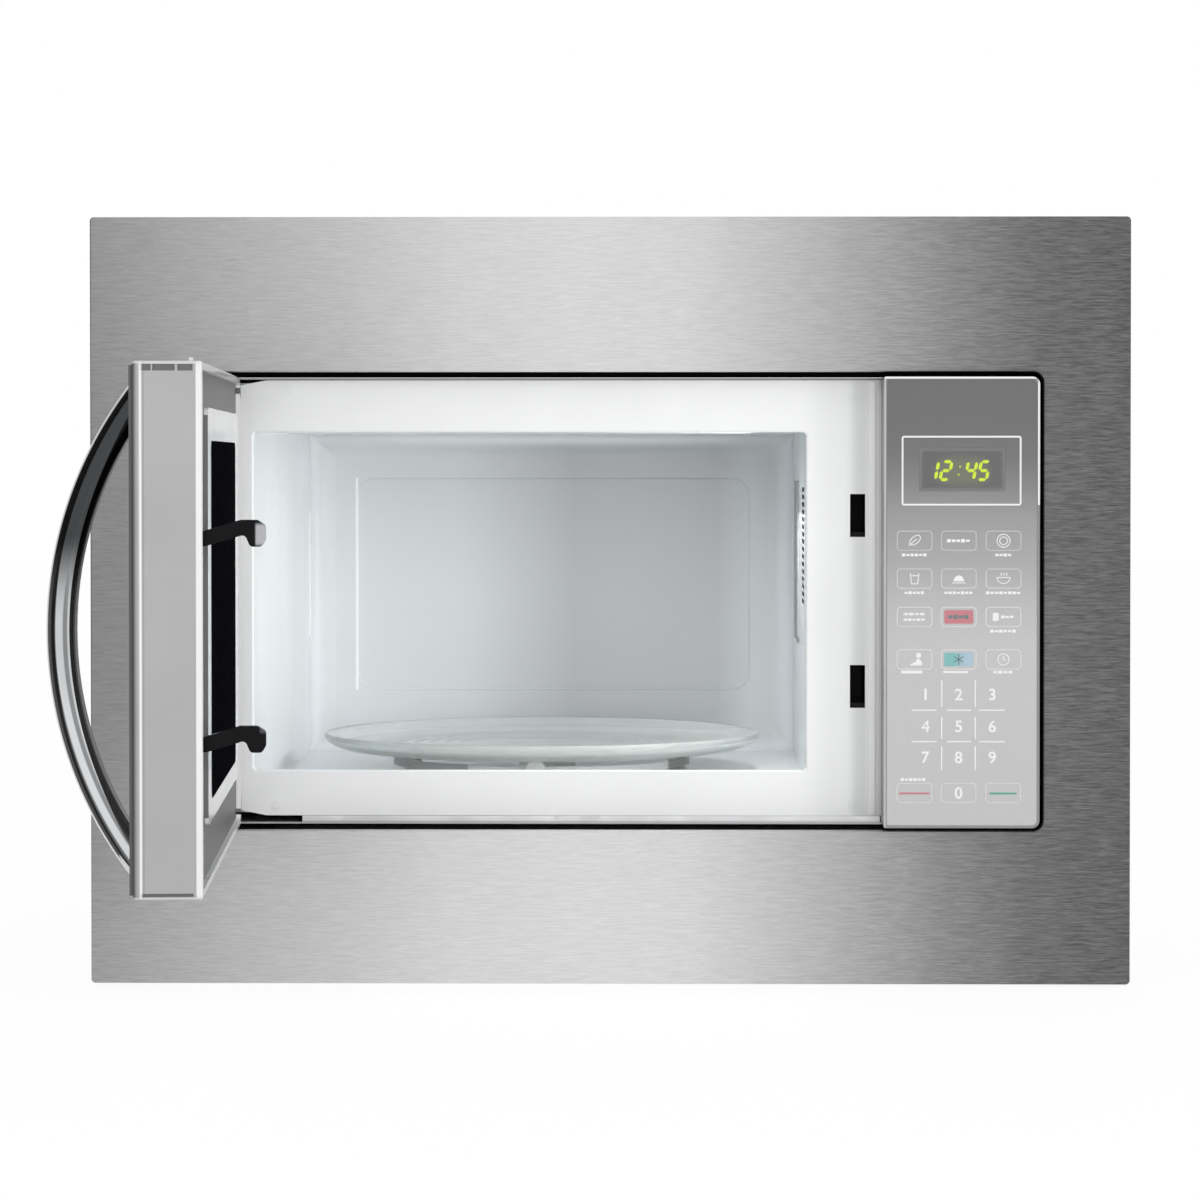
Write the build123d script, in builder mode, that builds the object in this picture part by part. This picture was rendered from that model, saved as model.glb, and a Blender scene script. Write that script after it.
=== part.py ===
from build123d import *
from math import cos, radians, sin, sqrt
import os

# Built-in microwave oven with its trim frame, in millimetres.
# Origin: centre of the trim frame, on the front plane of the cupboard it is built into.
# +X is to the user's right, -Y towards the user, +Z up.

# ---------------------------------------------------------------- driving dimensions
# Cavity and body
cavity_width = 319.5
cavity_opening_height = 195.3
cavity_depth = 347.0
cavity_floor_drop = 13.2  # the floor lies this far below the opening's lower edge
cavity_ceiling_rise = 0.5
cavity_sheet = 0.8
cavity_corner_radius = 2.2
back_panel_depth = 2.0
cavity_back_radius = 16.0
left_rail = 33.4  # body side to cavity
compartment_width = 128.2  # cavity to the other body side
top_rail = 31.5  # oven front's top edge to the cavity opening
bottom_rail = 30.2
rear_space = 15.0  # behind the cavity
body_inset = 3.8  # the body is narrower than the oven's front on each side
body_sheet = 1.0
base_below_front = 1.0

# Oven front
plate_thickness = 2.0
plate_top_step = 1.4
plate_bottom_step = 3.8
panel_width = 88.6
panel_gap = 1.7  # between door and control panel
door_thickness = 35.0
door_seal_gap = 2.0
oven_proud = 12.0  # the oven's face stands this far in front of the trim frame
front_corner_radius = 4.5  # at the control panel

# Trim frame
trim_side_border = 49.7
trim_top_border = 88.6
trim_bottom_border = 88.0
trim_depth = 18.0
trim_sheet = 1.2
trim_corner_radius = 2.4
window_corner_radius = 6.0
window_fold = 5.0
reveal_left = 4.0
reveal_right = 2.9
reveal_top = 2.9
reveal_bottom = 2.5
liner_wall = 1.5
liner_depth = 46.8
liner_flange = 12.0
liner_body_gap = 0.6
bracket_sheet = 1.5
bracket_height = 200.0
bracket_depth = 40.0
niche_width = 562.0
niche_hole_radius = 2.25
niche_hole_spacing = 150.0
niche_hole_depth = 26.0  # behind the cupboard's front plane

# Door
door_rest_angle = 86.0
pivot_from_edge = 7.8
pivot_from_face = 10.6
hinge_pin_radius = 3.0
running_clearance = 0.05
hinge_arm_half_width = 5.0
hinge_arm_thickness = 2.5
hinge_flange_height = 10.0
hinge_arm_below_door_top = 6.5
glass_thickness = 3.2
glass_proud = 1.4
glass_inset = 2.0
glass_gap = 0.1
door_wall = 2.2
door_rim = 3.1
door_rim_width = 4.2
door_corner_radius = 2.6
pan_sheet = 1.5
pan_channel_depth = 18.0
pan_island_recess = 0.5
choke_recess = 2.5
choke_sheet = 1.5
choke_band_free = 59.0
choke_band_hinge = 22.0
choke_band_top = 21.5
choke_band_bottom = 30.0
island_corner_radius = 9.0
window_width = 250.0
window_below_opening = 16.7  # the door's window is this much lower than the cavity opening
window_from_free_edge = 90.0
window_above_door_bottom = 40.7
window_glass = 2.0
screen_sheet = 0.6
edge_recess_depth = 1.2
edge_recess_height = 3.1
edge_recess_from_end = 1.6
edge_recess_spans = ((5.7, 10.6), (11.4, 22.0), (23.3, 30.5))  # from the door's face
edge_stop_size = (2.4, 2.0, 1.6)

# Handle
handle_end_inset = 8.88  # door edge to the end of the bow
handle_protrusion = 41.0
handle_thickness = 14.0
handle_width = 22.0
handle_from_free_edge = 28.0
handle_middle_z = -1.1
handle_screw_inset = 21.5  # door edge to the handle's screws

# Latch
hook_from_free_edge = 13.4
hook_width = 5.0
hook_spacing = 98.8
hook_middle_z = -0.9
hook_reach = 29.6  # past the door's inner face
hook_lift = 4.0
hook_rounding = 2.2
slot_height = 24.8
slot_clearance = 0.4
ledge_clearance = 0.5
latch_board_width = 22.0

# Turntable
turntable_radius = 135.0
turntable_height = 11.0
turntable_rim_width = 25.0
glass_wall = 4.0
roller_radius = 6.35
roller_width = 7.0
roller_track_inset = 38.5  # plate edge to the middle of the rollers' track
roller_count = 3
roller_pin_radius = 1.6
roller_ring_width = 8.0
shaft_radius = 3.0
motor_radius = 24.0

# Drive parts behind the control panel
port_length = 80.0
port_height = 78.0
port_from_rear = 142.0  # middle of the waveguide's port to the rear panel
port_middle_z = 17.0
lamp_middle_z = 31.0
fan_below_top = 110.0
blade_radius = 44.0
blade_count = 5
leg_width = 28.0  # middle leg of the transformer's core
coil_width = 13.0
coil_gap = 0.5
can_size = (54.0, 34.0)  # capacitor can

# Screws and feet
screw_radius = 1.9
screw_head_radius = 3.8
screw_head_height = 2.2
foot_radius = 11.0
foot_height = 11.0
gland_bore_radius = 3.8
gland_radius = 7.0
hole_play = 0.1  # screw holes are wider than the screws by this on the radius
seat_gap = 0.3

# ---------------------------------------------------------------- worked-out places
opening_width = (
    reveal_left + body_inset + left_rail + cavity_width + compartment_width
    + body_inset + reveal_right
)
opening_height = (
    reveal_bottom + bottom_rail + cavity_opening_height + top_rail + reveal_top
)
trim_width = opening_width + 2 * trim_side_border
trim_height = opening_height + trim_top_border + trim_bottom_border
trim_x = (-trim_width / 2, trim_width / 2)
trim_z = (-trim_height / 2, trim_height / 2)
trim_opening_x = (-opening_width / 2, opening_width / 2)
trim_opening_z = (trim_z[0] + trim_bottom_border, trim_z[1] - trim_top_border)
front_x = (trim_opening_x[0] + reveal_left, trim_opening_x[1] - reveal_right)
front_z = (trim_opening_z[0] + reveal_bottom, trim_opening_z[1] - reveal_top)
body_x = (front_x[0] + body_inset, front_x[1] - body_inset)
body_z = (front_z[0] - base_below_front, front_z[1])
cavity_x = (body_x[0] + left_rail, body_x[0] + left_rail + cavity_width)
opening_z = (front_z[0] + bottom_rail, front_z[1] - top_rail)
cavity_z = (opening_z[0] - cavity_floor_drop, opening_z[1] + cavity_ceiling_rise)
panel_x = (front_x[1] - panel_width, front_x[1])
door_x = (front_x[0], panel_x[0] - panel_gap)

face_y = -trim_depth - oven_proud
door_back_y = face_y + door_thickness
plate_y = (door_back_y + door_seal_gap, door_back_y + door_seal_gap + plate_thickness)
cavity_y = (plate_y[1], plate_y[1] + cavity_depth)
rear_y = (cavity_y[1] + rear_space, cavity_y[1] + rear_space + body_sheet)
plate_z = (front_z[0] + plate_bottom_step, front_z[1] - plate_top_step)
plate_x = (body_x[0] + body_sheet, body_x[1] - body_sheet)
compartment_x = (cavity_x[1] + cavity_sheet, body_x[1] - body_sheet)
base_top = body_z[0] + body_sheet
cavity_under = cavity_z[0] - cavity_sheet

turntable_base_radius = turntable_radius - turntable_rim_width
roller_track_radius = turntable_radius - roller_track_inset
turntable_x = sum(cavity_x) / 2
turntable_y = plate_y[0] + cavity_depth / 2 + 1.0

# The door's own axes: u from the hinge pins to the free edge, v from its face inwards.
pivot = (door_x[0] + pivot_from_edge, face_y + pivot_from_face)
door_u = (-pivot_from_edge, door_x[1] - pivot[0])
door_v = (-pivot_from_face, door_thickness - pivot_from_face)
door_turn = radians(-door_rest_angle)
door_seat = Plane(
    origin=(pivot[0], pivot[1], 0),
    x_dir=(cos(door_turn), sin(door_turn), 0),
    z_dir=(0, 0, 1),
)


# ---------------------------------------------------------------- helpers
def middle(span):
    """Half way between the two values of a span."""
    return (span[0] + span[1]) / 2


def grown(span, amount):
    """The span made longer by the amount at each end."""
    return (span[0] - amount, span[1] + amount)


def about(centre, length):
    """The span of this length about a centre."""
    return (centre - length / 2, centre + length / 2)


def facing(y):
    """The plane at depth y that faces the user, its own x to the right and y upwards."""
    return Plane.XZ.offset(-y)


def facing_door(v):
    """The plane at depth v in the door, facing out of the door's front."""
    origin = door_seat.from_local_coords((0, v, 0))
    return Plane(origin=origin, x_dir=door_seat.x_dir, z_dir=-door_seat.y_dir)


def block(x, y, z, mode=Mode.ADD):
    """A box between the low and high values of x, y and z."""
    with Locations((middle(x), middle(y), middle(z))):
        Box(x[1] - x[0], y[1] - y[0], z[1] - z[0], mode=mode)


def oblong(x, z, radius=0.0, mode=Mode.ADD):
    """A rectangle of the sketch between the low and high values of x and z."""
    with Locations((middle(x), middle(z))):
        if radius:
            RectangleRounded(x[1] - x[0], z[1] - z[0], radius, mode=mode)
        else:
            Rectangle(x[1] - x[0], z[1] - z[0], mode=mode)


def frame_layer(plane, depth, outer, inner, outer_radius=0.0, inner_radius=0.0):
    """A flat ring between two oblongs, going back from the plane by the depth."""
    with BuildSketch(plane) as ring:
        oblong(outer[0], outer[1], outer_radius)
        oblong(inner[0], inner[1], inner_radius, mode=Mode.SUBTRACT)
    extrude(ring.sketch, amount=-depth)


def rod(origin, out, radius, length, mode=Mode.ADD):
    """A round bar from the origin along the direction out."""
    with BuildSketch(Plane(origin=origin, z_dir=out)) as section:
        Circle(radius)
    extrude(section.sketch, amount=length, mode=mode)


def screw(origin, out, shank_length):
    """A cross-head screw: its head on the face at the origin, its shank going in."""
    seat = Plane(origin=origin, z_dir=out)
    with BuildSketch(seat) as head:
        Circle(screw_head_radius)
    extrude(head.sketch, amount=screw_head_height)
    with BuildSketch(seat) as shank:
        Circle(screw_radius)
    extrude(shank.sketch, amount=-shank_length)
    with BuildSketch(seat.offset(screw_head_height)) as cross:
        Rectangle(screw_head_radius, screw_head_radius / 4)
        Rectangle(screw_head_radius / 4, screw_head_radius)
    extrude(cross.sketch, amount=-screw_head_height / 2, mode=Mode.SUBTRACT)


def slots(plane, centre, size, pitch, counts, depth):
    """Rows of upright vent slots cut through a sheet."""
    with BuildSketch(plane) as grid:
        with Locations(centre):
            with GridLocations(pitch[0], pitch[1], counts[0], counts[1]):
                SlotOverall(size[1], size[0], rotation=90)
    extrude(grid.sketch, amount=-depth, mode=Mode.SUBTRACT)


# ---------------------------------------------------------------- trim kit
# Stainless frame: front sheet, returns to the cupboard, and a fold round the window.
with BuildPart() as trim_frame:
    frame_layer(
        facing(-trim_depth), trim_sheet, (trim_x, trim_z),
        (trim_opening_x, trim_opening_z), trim_corner_radius, window_corner_radius,
    )
    frame_layer(
        facing(-trim_depth), trim_depth, (trim_x, trim_z),
        (grown(trim_x, -trim_sheet), grown(trim_z, -trim_sheet)),
        trim_corner_radius, trim_corner_radius - trim_sheet,
    )
    frame_layer(
        facing(-trim_depth), window_fold,
        (grown(trim_opening_x, trim_sheet), grown(trim_opening_z, trim_sheet)),
        (trim_opening_x, trim_opening_z),
        window_corner_radius + trim_sheet, window_corner_radius,
    )
    front_edges = trim_frame.faces().sort_by(Axis.Y)[0].edges()
    fillet(front_edges, 0.8)

# Black sheet-metal liner behind the window, closed against the oven's body at its back.
liner_x = grown(trim_opening_x, trim_sheet)
liner_z = grown(trim_opening_z, trim_sheet)
liner_front = -trim_depth + trim_sheet
with BuildPart() as trim_liner:
    frame_layer(
        facing(liner_front), liner_depth,
        (grown(liner_x, liner_wall), grown(liner_z, liner_wall)), (liner_x, liner_z),
        window_corner_radius + trim_sheet + liner_wall, window_corner_radius + trim_sheet,
    )
    frame_layer(
        facing(liner_front), liner_wall,
        (grown(liner_x, liner_flange), grown(liner_z, liner_flange)), (liner_x, liner_z),
        window_corner_radius, window_corner_radius + trim_sheet,
    )
    frame_layer(
        facing(liner_front + liner_depth - liner_wall), liner_wall,
        (grown(liner_x, liner_wall / 2), grown(liner_z, liner_wall / 2)),
        (grown(body_x, liner_body_gap), grown(body_z, liner_body_gap)),
        window_corner_radius, 1.0,
    )
    for side in (-1, 1):
        for height in (-1, 1):
            rod(
                (side * (opening_width / 2 - 1), niche_hole_depth / 2, height * bracket_height / 5),
                (side, 0, 0), screw_radius + hole_play, 8, mode=Mode.SUBTRACT,
            )

# Side brackets: a leg on the liner, a web, and a flange against the niche's side wall.
liner_side = liner_x[1] + liner_wall
niche_side = max(niche_width / 2, liner_side + 8)


def trim_bracket(side):
    """One bracket, for the side -1 or 1; it has two holes for screws into the niche."""
    with BuildPart() as bracket:
        leg = sorted((side * liner_side, side * (liner_side + bracket_sheet)))
        web = sorted((side * liner_side, side * niche_side))
        wall = sorted((side * (niche_side - bracket_sheet), side * niche_side))
        height = about(0, bracket_height)
        block(leg, (2, niche_hole_depth), about(0, bracket_height * 0.6))
        block(web, (2, 2 + bracket_sheet), height)
        block(wall, (2, 2 + bracket_depth), height)
        for end in (-1, 1):
            rod(
                (side * (niche_side - 4), niche_hole_depth, end * niche_hole_spacing / 2),
                (side, 0, 0), niche_hole_radius, 8, mode=Mode.SUBTRACT,
            )
            rod(
                (side * (liner_side - 1), niche_hole_depth / 2, end * bracket_height / 5),
                (side, 0, 0), screw_radius + hole_play, 4, mode=Mode.SUBTRACT,
            )
    return bracket.part


with BuildPart() as trim_screws:
    for side in (-1, 1):
        for end in (-1, 1):
            screw(
                (side * (liner_side + bracket_sheet), niche_hole_depth / 2, end * bracket_height / 5),
                (side, 0, 0), bracket_sheet + liner_wall,
            )

# ---------------------------------------------------------------- cabinet
wrap_lip = 12.0  # inward lip at the back, which the rear panel screws to
rear_screw_points = [
    (body_x[0] + wrap_lip / 2, body_z[1] - 20), (body_x[0] + wrap_lip / 2, body_z[0] + 30),
    (body_x[1] - wrap_lip / 2, body_z[1] - 20), (body_x[1] - wrap_lip / 2, body_z[0] + 30),
    (middle(body_x), body_z[1] - wrap_lip / 2),
]
side_screw_points = [(plate_y[0] + 60, body_z[0] + 5.5), (rear_y[0] - 60, body_z[0] + 5.5)]
wrap_y = (plate_y[0], rear_y[0])
with BuildPart() as cabinet_wrap:
    block(body_x, wrap_y, body_z)
    block(
        grown(body_x, -body_sheet), grown(wrap_y, 1),
        (body_z[0] - 1, body_z[1] - body_sheet), mode=Mode.SUBTRACT,
    )
    lip_y = (rear_y[0] - body_sheet, rear_y[0])
    block((body_x[0], body_x[0] + wrap_lip), lip_y, (base_top + 1, body_z[1]))
    block((body_x[1] - wrap_lip, body_x[1]), lip_y, (base_top + 1, body_z[1]))
    block(body_x, lip_y, (body_z[1] - wrap_lip, body_z[1]))
    for x, z in rear_screw_points:
        rod((x, rear_y[0] - 2, z), (0, 1, 0), screw_radius + hole_play, 4, mode=Mode.SUBTRACT)
    for y, z in side_screw_points:
        rod((body_x[0] - 1, y, z), (1, 0, 0), screw_radius + hole_play, 3, mode=Mode.SUBTRACT)
        rod((body_x[1] + 1, y, z), (-1, 0, 0), screw_radius + hole_play, 3, mode=Mode.SUBTRACT)
    # Air leaves through the roof over the cavity and enters at the compartment's side.
    with BuildSketch(Plane.XY.offset(body_z[1])):
        with Locations((turntable_x, rear_y[0] - 50)):
            with GridLocations(9, 30, 14, 2):
                SlotOverall(22, 4, rotation=90)
    extrude(amount=-body_sheet, mode=Mode.SUBTRACT)
    with BuildSketch(Plane.YZ.offset(body_x[1])):
        with Locations((rear_y[0] - 75, middle(body_z))):
            with GridLocations(9, 30, 10, 3):
                SlotOverall(22, 4, rotation=90)
    extrude(amount=-body_sheet, mode=Mode.SUBTRACT)

foot_x = (body_x[0] + 32, body_x[1] - 32)
foot_y = (plate_y[0] + 42, rear_y[0] - 40)
with BuildPart() as base_plate:
    base_x = grown(body_x, -body_sheet)
    block(base_x, wrap_y, (body_z[0], base_top))
    for edge in (base_x[0], base_x[1] - body_sheet):
        flange_y = (plate_y[1] + 22, rear_y[0] - 3)
        block((edge, edge + body_sheet), flange_y, (body_z[0], body_z[0] + 11))
    lip_x = (cavity_x[0] + 28, panel_x[0] - 0.6)
    block(lip_x, (plate_y[0], plate_y[0] + body_sheet), (body_z[0], plate_z[0] - 0.2))
    for y, z in side_screw_points:
        rod((body_x[0], y, z), (1, 0, 0), screw_radius + hole_play, 4, mode=Mode.SUBTRACT)
        rod((body_x[1], y, z), (-1, 0, 0), screw_radius + hole_play, 4, mode=Mode.SUBTRACT)
    for x in foot_x:
        for y in foot_y:
            rod((x, y, body_z[0] - 1), (0, 0, 1), 3.2, 4, mode=Mode.SUBTRACT)
    with BuildSketch(Plane.XY.offset(base_top)):
        with Locations((middle(compartment_x), rear_y[0] - 90)):
            with GridLocations(9, 1, 8, 1):
                SlotOverall(50, 4, rotation=90)
    extrude(amount=-body_sheet, mode=Mode.SUBTRACT)

gland_place = (body_x[1] - 34, body_z[0] + 34)
with BuildPart() as rear_panel:
    block(body_x, rear_y, (body_z[0], body_z[1]))
    for x, z in rear_screw_points:
        rod((x, rear_y[0] - 1, z), (0, 1, 0), screw_radius + hole_play, 4, mode=Mode.SUBTRACT)
    rod((gland_place[0], rear_y[0] - 1, gland_place[1]), (0, 1, 0), gland_radius, 4, mode=Mode.SUBTRACT)
    # Upright slots let the fan draw air in, and vent the space behind the cavity.
    slots(facing(rear_y[0]), (middle(compartment_x), 18), (4, 30), (9, 36), (10, 2), body_sheet)
    slots(facing(rear_y[0]), (turntable_x, 84), (4, 20), (9, 30), (16, 1), body_sheet)

with BuildPart() as cabinet_screws:
    for x, z in rear_screw_points:
        screw((x, rear_y[1], z), (0, 1, 0), 2 * body_sheet + 3)
    for y, z in side_screw_points:
        screw((body_x[0], y, z), (-1, 0, 0), 2 * body_sheet + 2)
        screw((body_x[1], y, z), (1, 0, 0), 2 * body_sheet + 2)

# Push-in feet: a tapered pad under the base and a stem through it.
with BuildPart() as feet:
    for x in foot_x:
        for y in foot_y:
            with BuildSketch(Plane.XY.offset(body_z[0])):
                with Locations((x, y)):
                    Circle(foot_radius)
            extrude(amount=-foot_height, taper=6)
            rod((x, y, body_z[0]), (0, 0, 1), 3.1, 4.5)

with BuildPart() as cord_gland:
    gland_origin = (gland_place[0], rear_y[1], gland_place[1])
    rod(gland_origin, (0, 1, 0), gland_radius + 3, 3)
    rod(gland_origin, (0, 1, 0), gland_radius - 1.2, 11)
    rod(gland_origin, (0, -1, 0), gland_radius - 0.1, 9)
    rod(
        (gland_place[0], rear_y[1] - 20, gland_place[1]), (0, 1, 0), gland_bore_radius, 60,
        mode=Mode.SUBTRACT,
    )

# ---------------------------------------------------------------- cavity and front plate
port_y = about(rear_y[0] - port_from_rear, port_length)
port_z = about(port_middle_z, port_height)
motor_place = (turntable_x, turntable_y)
# The room inside the cavity, which the shell is hollowed by; it is not a piece itself.
with BuildPart() as cavity_room:
    block(cavity_x, (cavity_y[0] - 1, cavity_y[1]), cavity_z)
    room_back = cavity_room.faces().sort_by(Axis.Y)[-1].edges()
    fillet(room_back, cavity_back_radius)

with BuildPart() as cavity_shell:
    outer_x = grown(cavity_x, cavity_sheet)
    outer_z = grown(cavity_z, cavity_sheet)
    outer_y = (cavity_y[0], cavity_y[1] + cavity_sheet)
    block(outer_x, outer_y, outer_z)
    outer_back = cavity_shell.faces().sort_by(Axis.Y)[-1].edges()
    fillet(outer_back, cavity_back_radius + cavity_sheet)
    add(cavity_room.part, mode=Mode.SUBTRACT)
    # A panel is pressed outwards in the back wall, and a short rib inwards in the left one.
    pressed_x = (cavity_x[0] + 29.6, cavity_x[1] - 28.9)
    pressed_z = (cavity_z[0] + 39.6, cavity_z[1] - 28.5)
    with BuildSketch(facing(outer_y[1])):
        oblong(grown(pressed_x, cavity_sheet), grown(pressed_z, cavity_sheet), 12 + cavity_sheet)
    extrude(amount=-back_panel_depth)
    with BuildSketch(facing(cavity_y[1])):
        oblong(pressed_x, pressed_z, 12)
    extrude(amount=-back_panel_depth, mode=Mode.SUBTRACT)
    pressed = cavity_shell.faces(Select.LAST).sort_by(Axis.Y)[-1].edges()
    fillet(pressed, 1.2)
    block((cavity_x[0], cavity_x[0] + 1.2), (cavity_y[1] - 22, cavity_y[1] - 18), (-36, 46))
    block((cavity_x[1] - 2, cavity_x[1] + 4), port_y, port_z, mode=Mode.SUBTRACT)
    rod((turntable_x, turntable_y, cavity_under - 2), (0, 0, 1), shaft_radius + 1.5, 6, mode=Mode.SUBTRACT)

slot_span_z = [about(hook_middle_z + end * hook_spacing / 2, slot_height) for end in (1, -1)]
hook_u = about(door_u[1] - hook_from_free_edge, hook_width)
hook_tip_v = door_v[1] + hook_reach
plate_v = plate_y[0] - pivot[1]
# While the door closes, the hooks' tips swing outwards by this much.
hook_swing = sqrt(hook_u[1] ** 2 + hook_tip_v**2 - plate_v**2) - hook_u[1]
slot_x = (pivot[0] + hook_u[0] - slot_clearance, pivot[0] + hook_u[1] + hook_swing + slot_clearance)
rivet_points = [
    (cavity_x[0] + 20, plate_z[1] - 6.5), (cavity_x[0] + 13, plate_z[0] + 6),
    (slot_x[0] + 1.7, plate_z[1] - 9.5), (slot_x[0] + 1.7, plate_z[0] + 7),
]
notch_x = plate_x[0] + 25.0
notch_depth = 10.5
notch_slope = (14.9, 2.9)
with BuildPart() as front_plate:
    with BuildSketch(facing(plate_y[0])):
        oblong(plate_x, plate_z)
        oblong(cavity_x, opening_z, cavity_corner_radius, mode=Mode.SUBTRACT)
        for side, edge in ((1, plate_z[1]), (-1, plate_z[0])):
            with BuildLine():
                Polyline(
                    (plate_x[0] - 1, edge + side),
                    (notch_x + notch_slope[0], edge + side),
                    (notch_x + notch_slope[0], edge),
                    (notch_x, edge - side * notch_slope[1]),
                    (notch_x, edge - side * notch_depth),
                    (plate_x[0] - 1, edge - side * notch_depth),
                    close=True,
                )
            make_face(mode=Mode.SUBTRACT)
        for span in slot_span_z:
            oblong(slot_x, span, mode=Mode.SUBTRACT)
        with Locations((middle(panel_x), -40), (middle(panel_x), 70)):
            RectangleRounded(46, 40, 4, mode=Mode.SUBTRACT)
        for x, z in rivet_points:
            with Locations((x, z)):
                Circle(1.6, mode=Mode.SUBTRACT)
    extrude(amount=-plate_thickness)
    mouth = (
        front_plate.faces().sort_by(Axis.Y)[0].inner_wires().sort_by(SortBy.LENGTH)[-1].edges()
    )
    fillet(mouth, plate_thickness * 0.7)
    # Ridge beside the control panel, and flanges that slip inside the cabinet.
    block((panel_x[0] - 7.5, panel_x[0] - 3.5), (plate_y[0] - 1.5, plate_y[0]), grown(plate_z, -1))
    block((notch_x + 16, plate_x[1] - 12), (plate_y[1], plate_y[1] + 11), (plate_z[1] - 1.2, plate_z[1]))
    block((plate_x[0], plate_x[0] + 1.2), (plate_y[1], plate_y[1] + 11), grown(plate_z, -14))
    block((plate_x[1] - 1.2, plate_x[1]), (plate_y[1], plate_y[1] + 11), grown(plate_z, -14))

with BuildPart() as plate_rivets:
    for x, z in rivet_points:
        rod((x, plate_y[0], z), (0, -1, 0), 2.6, 0.8)
        rod((x, plate_y[0], z), (0, 1, 0), 1.5, plate_thickness + 2)

cover_y = (port_y[0] - 7, port_y[1] + 7)
cover_z = (port_z[0] - 11, port_z[1] + 11)
with BuildPart() as waveguide_cover:
    block((cavity_x[1] - 1.0, cavity_x[1]), cover_y, cover_z)
    corners = waveguide_cover.edges().filter_by(Axis.X)
    fillet(corners, 5)
    block((cavity_x[1], cavity_x[1] + cavity_sheet), grown(port_y, -1), grown(port_z, -1))

guide_x = (cavity_x[1] + cavity_sheet, cavity_x[1] + cavity_sheet + 42)
guide_y = grown(port_y, 6)
guide_z = grown(port_z, 6)
antenna_place = (middle(port_y), middle(port_z))
with BuildPart() as waveguide:
    block(guide_x, guide_y, guide_z)
    block(
        (guide_x[0] - 1, guide_x[1] - 1.2), grown(guide_y, -1.2), grown(guide_z, -1.2),
        mode=Mode.SUBTRACT,
    )
    block((guide_x[0], guide_x[0] + 1.2), (guide_y[0] - 8, guide_y[0]), guide_z)
    block((guide_x[0], guide_x[0] + 1.2), (guide_y[1], guide_y[1] + 8), guide_z)
    rod((guide_x[0] - 1, *antenna_place), (1, 0, 0), 19, 60, mode=Mode.SUBTRACT)

# ---------------------------------------------------------------- compartment
yoke_x = (guide_x[1], guide_x[1] + 40)
yoke_y = about(antenna_place[0], 98)
yoke_z = about(antenna_place[1], 78)
tube_radius = 18.0
with BuildPart() as magnetron_yoke:
    block(yoke_x, yoke_y, yoke_z)
    block(grown(yoke_x, -2), grown(yoke_y, 1), grown(yoke_z, -2), mode=Mode.SUBTRACT)
    rod((yoke_x[0] - 1, *antenna_place), (1, 0, 0), tube_radius + 0.3, 60, mode=Mode.SUBTRACT)

with BuildPart() as magnetron_fins:
    fin_count = 6
    for index in range(fin_count):
        fin_x = yoke_x[0] + 8 + index * 4.5
        block((fin_x, fin_x + 0.8), grown(yoke_y, -4), (yoke_z[0] + 2, yoke_z[1] - 2))
    rod((yoke_x[0] + 1, *antenna_place), (1, 0, 0), tube_radius + 0.05, 36, mode=Mode.SUBTRACT)

with BuildPart() as magnetron_tube:
    rod((yoke_x[0] - 1, *antenna_place), (1, 0, 0), tube_radius, 42)
    rod((yoke_x[0] - 12, *antenna_place), (1, 0, 0), 11, 12)
    rod((yoke_x[0] - 28, *antenna_place), (1, 0, 0), 7.5, 17)

with BuildPart() as magnetron_filter_box:
    box_x = (yoke_x[1] + 1, yoke_x[1] + 25)
    block(box_x, about(antenna_place[0], 56), about(antenna_place[1], 56))
    block((box_x[1], box_x[1] + 6), about(antenna_place[0], 30), about(antenna_place[1], 12))

# Transformer: laminated core with two windows, and a coil over its middle leg each way.
core_x = about(middle(compartment_x), 92)
core_y = (plate_y[1] + 54, plate_y[1] + 114)
core_z = (base_top, base_top + 72)
core_window_z = (core_z[0] + 12, core_z[1] - 12)
with BuildPart() as transformer_core:
    block(core_x, core_y, core_z)
    for side in (-1, 1):
        edge = sorted((middle(core_x) + side * leg_width / 2, middle(core_x) + side * (leg_width / 2 + 16)))
        block(edge, grown(core_y, 1), core_window_z, mode=Mode.SUBTRACT)
    block(grown(core_x, 10), grown(core_y, -8), (core_z[0], core_z[0] + 2))


def transformer_coil(low, high):
    """A winding round the core's middle leg between two heights."""
    with BuildPart() as coil:
        with BuildSketch(Plane.XY.offset(low)):
            leg_x = about(middle(core_x), leg_width + 2 * coil_gap)
            leg_y = grown(core_y, coil_gap)
            oblong(grown(leg_x, coil_width), grown(leg_y, coil_width), 10)
            oblong(leg_x, leg_y, mode=Mode.SUBTRACT)
        extrude(amount=high - low)
    return coil.part


coil_split = middle(core_window_z)

can_y = (core_y[1] + 30, core_y[1] + 122)
can_centre = (middle(compartment_x) - 14, base_top + 3 + can_size[1] / 2)
with BuildPart() as hv_capacitor:
    with BuildSketch(facing(can_y[0])):
        with Locations(can_centre):
            SlotOverall(*can_size)
    extrude(amount=-(can_y[1] - can_y[0]))
    for side in (-1, 1):
        block(about(can_centre[0] + side * 11, 6.3), (can_y[0] - 9, can_y[0]), about(can_centre[1], 0.8))

with BuildPart() as capacitor_clamp:
    band_y = about(middle(can_y), 18)
    with BuildSketch(facing(band_y[0])):
        with Locations(can_centre):
            SlotOverall(can_size[0] + 2.4, can_size[1] + 2.4)
            SlotOverall(can_size[0] + 0.1, can_size[1] + 0.1, mode=Mode.SUBTRACT)
    extrude(amount=-18)
    can_side = can_centre[0] + can_size[0] / 2
    block((can_side - 6, can_side + 16), band_y, (base_top, base_top + 1.8))
    block((can_side + 1.3, can_side + 2.8), band_y, (base_top, can_centre[1]))

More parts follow.
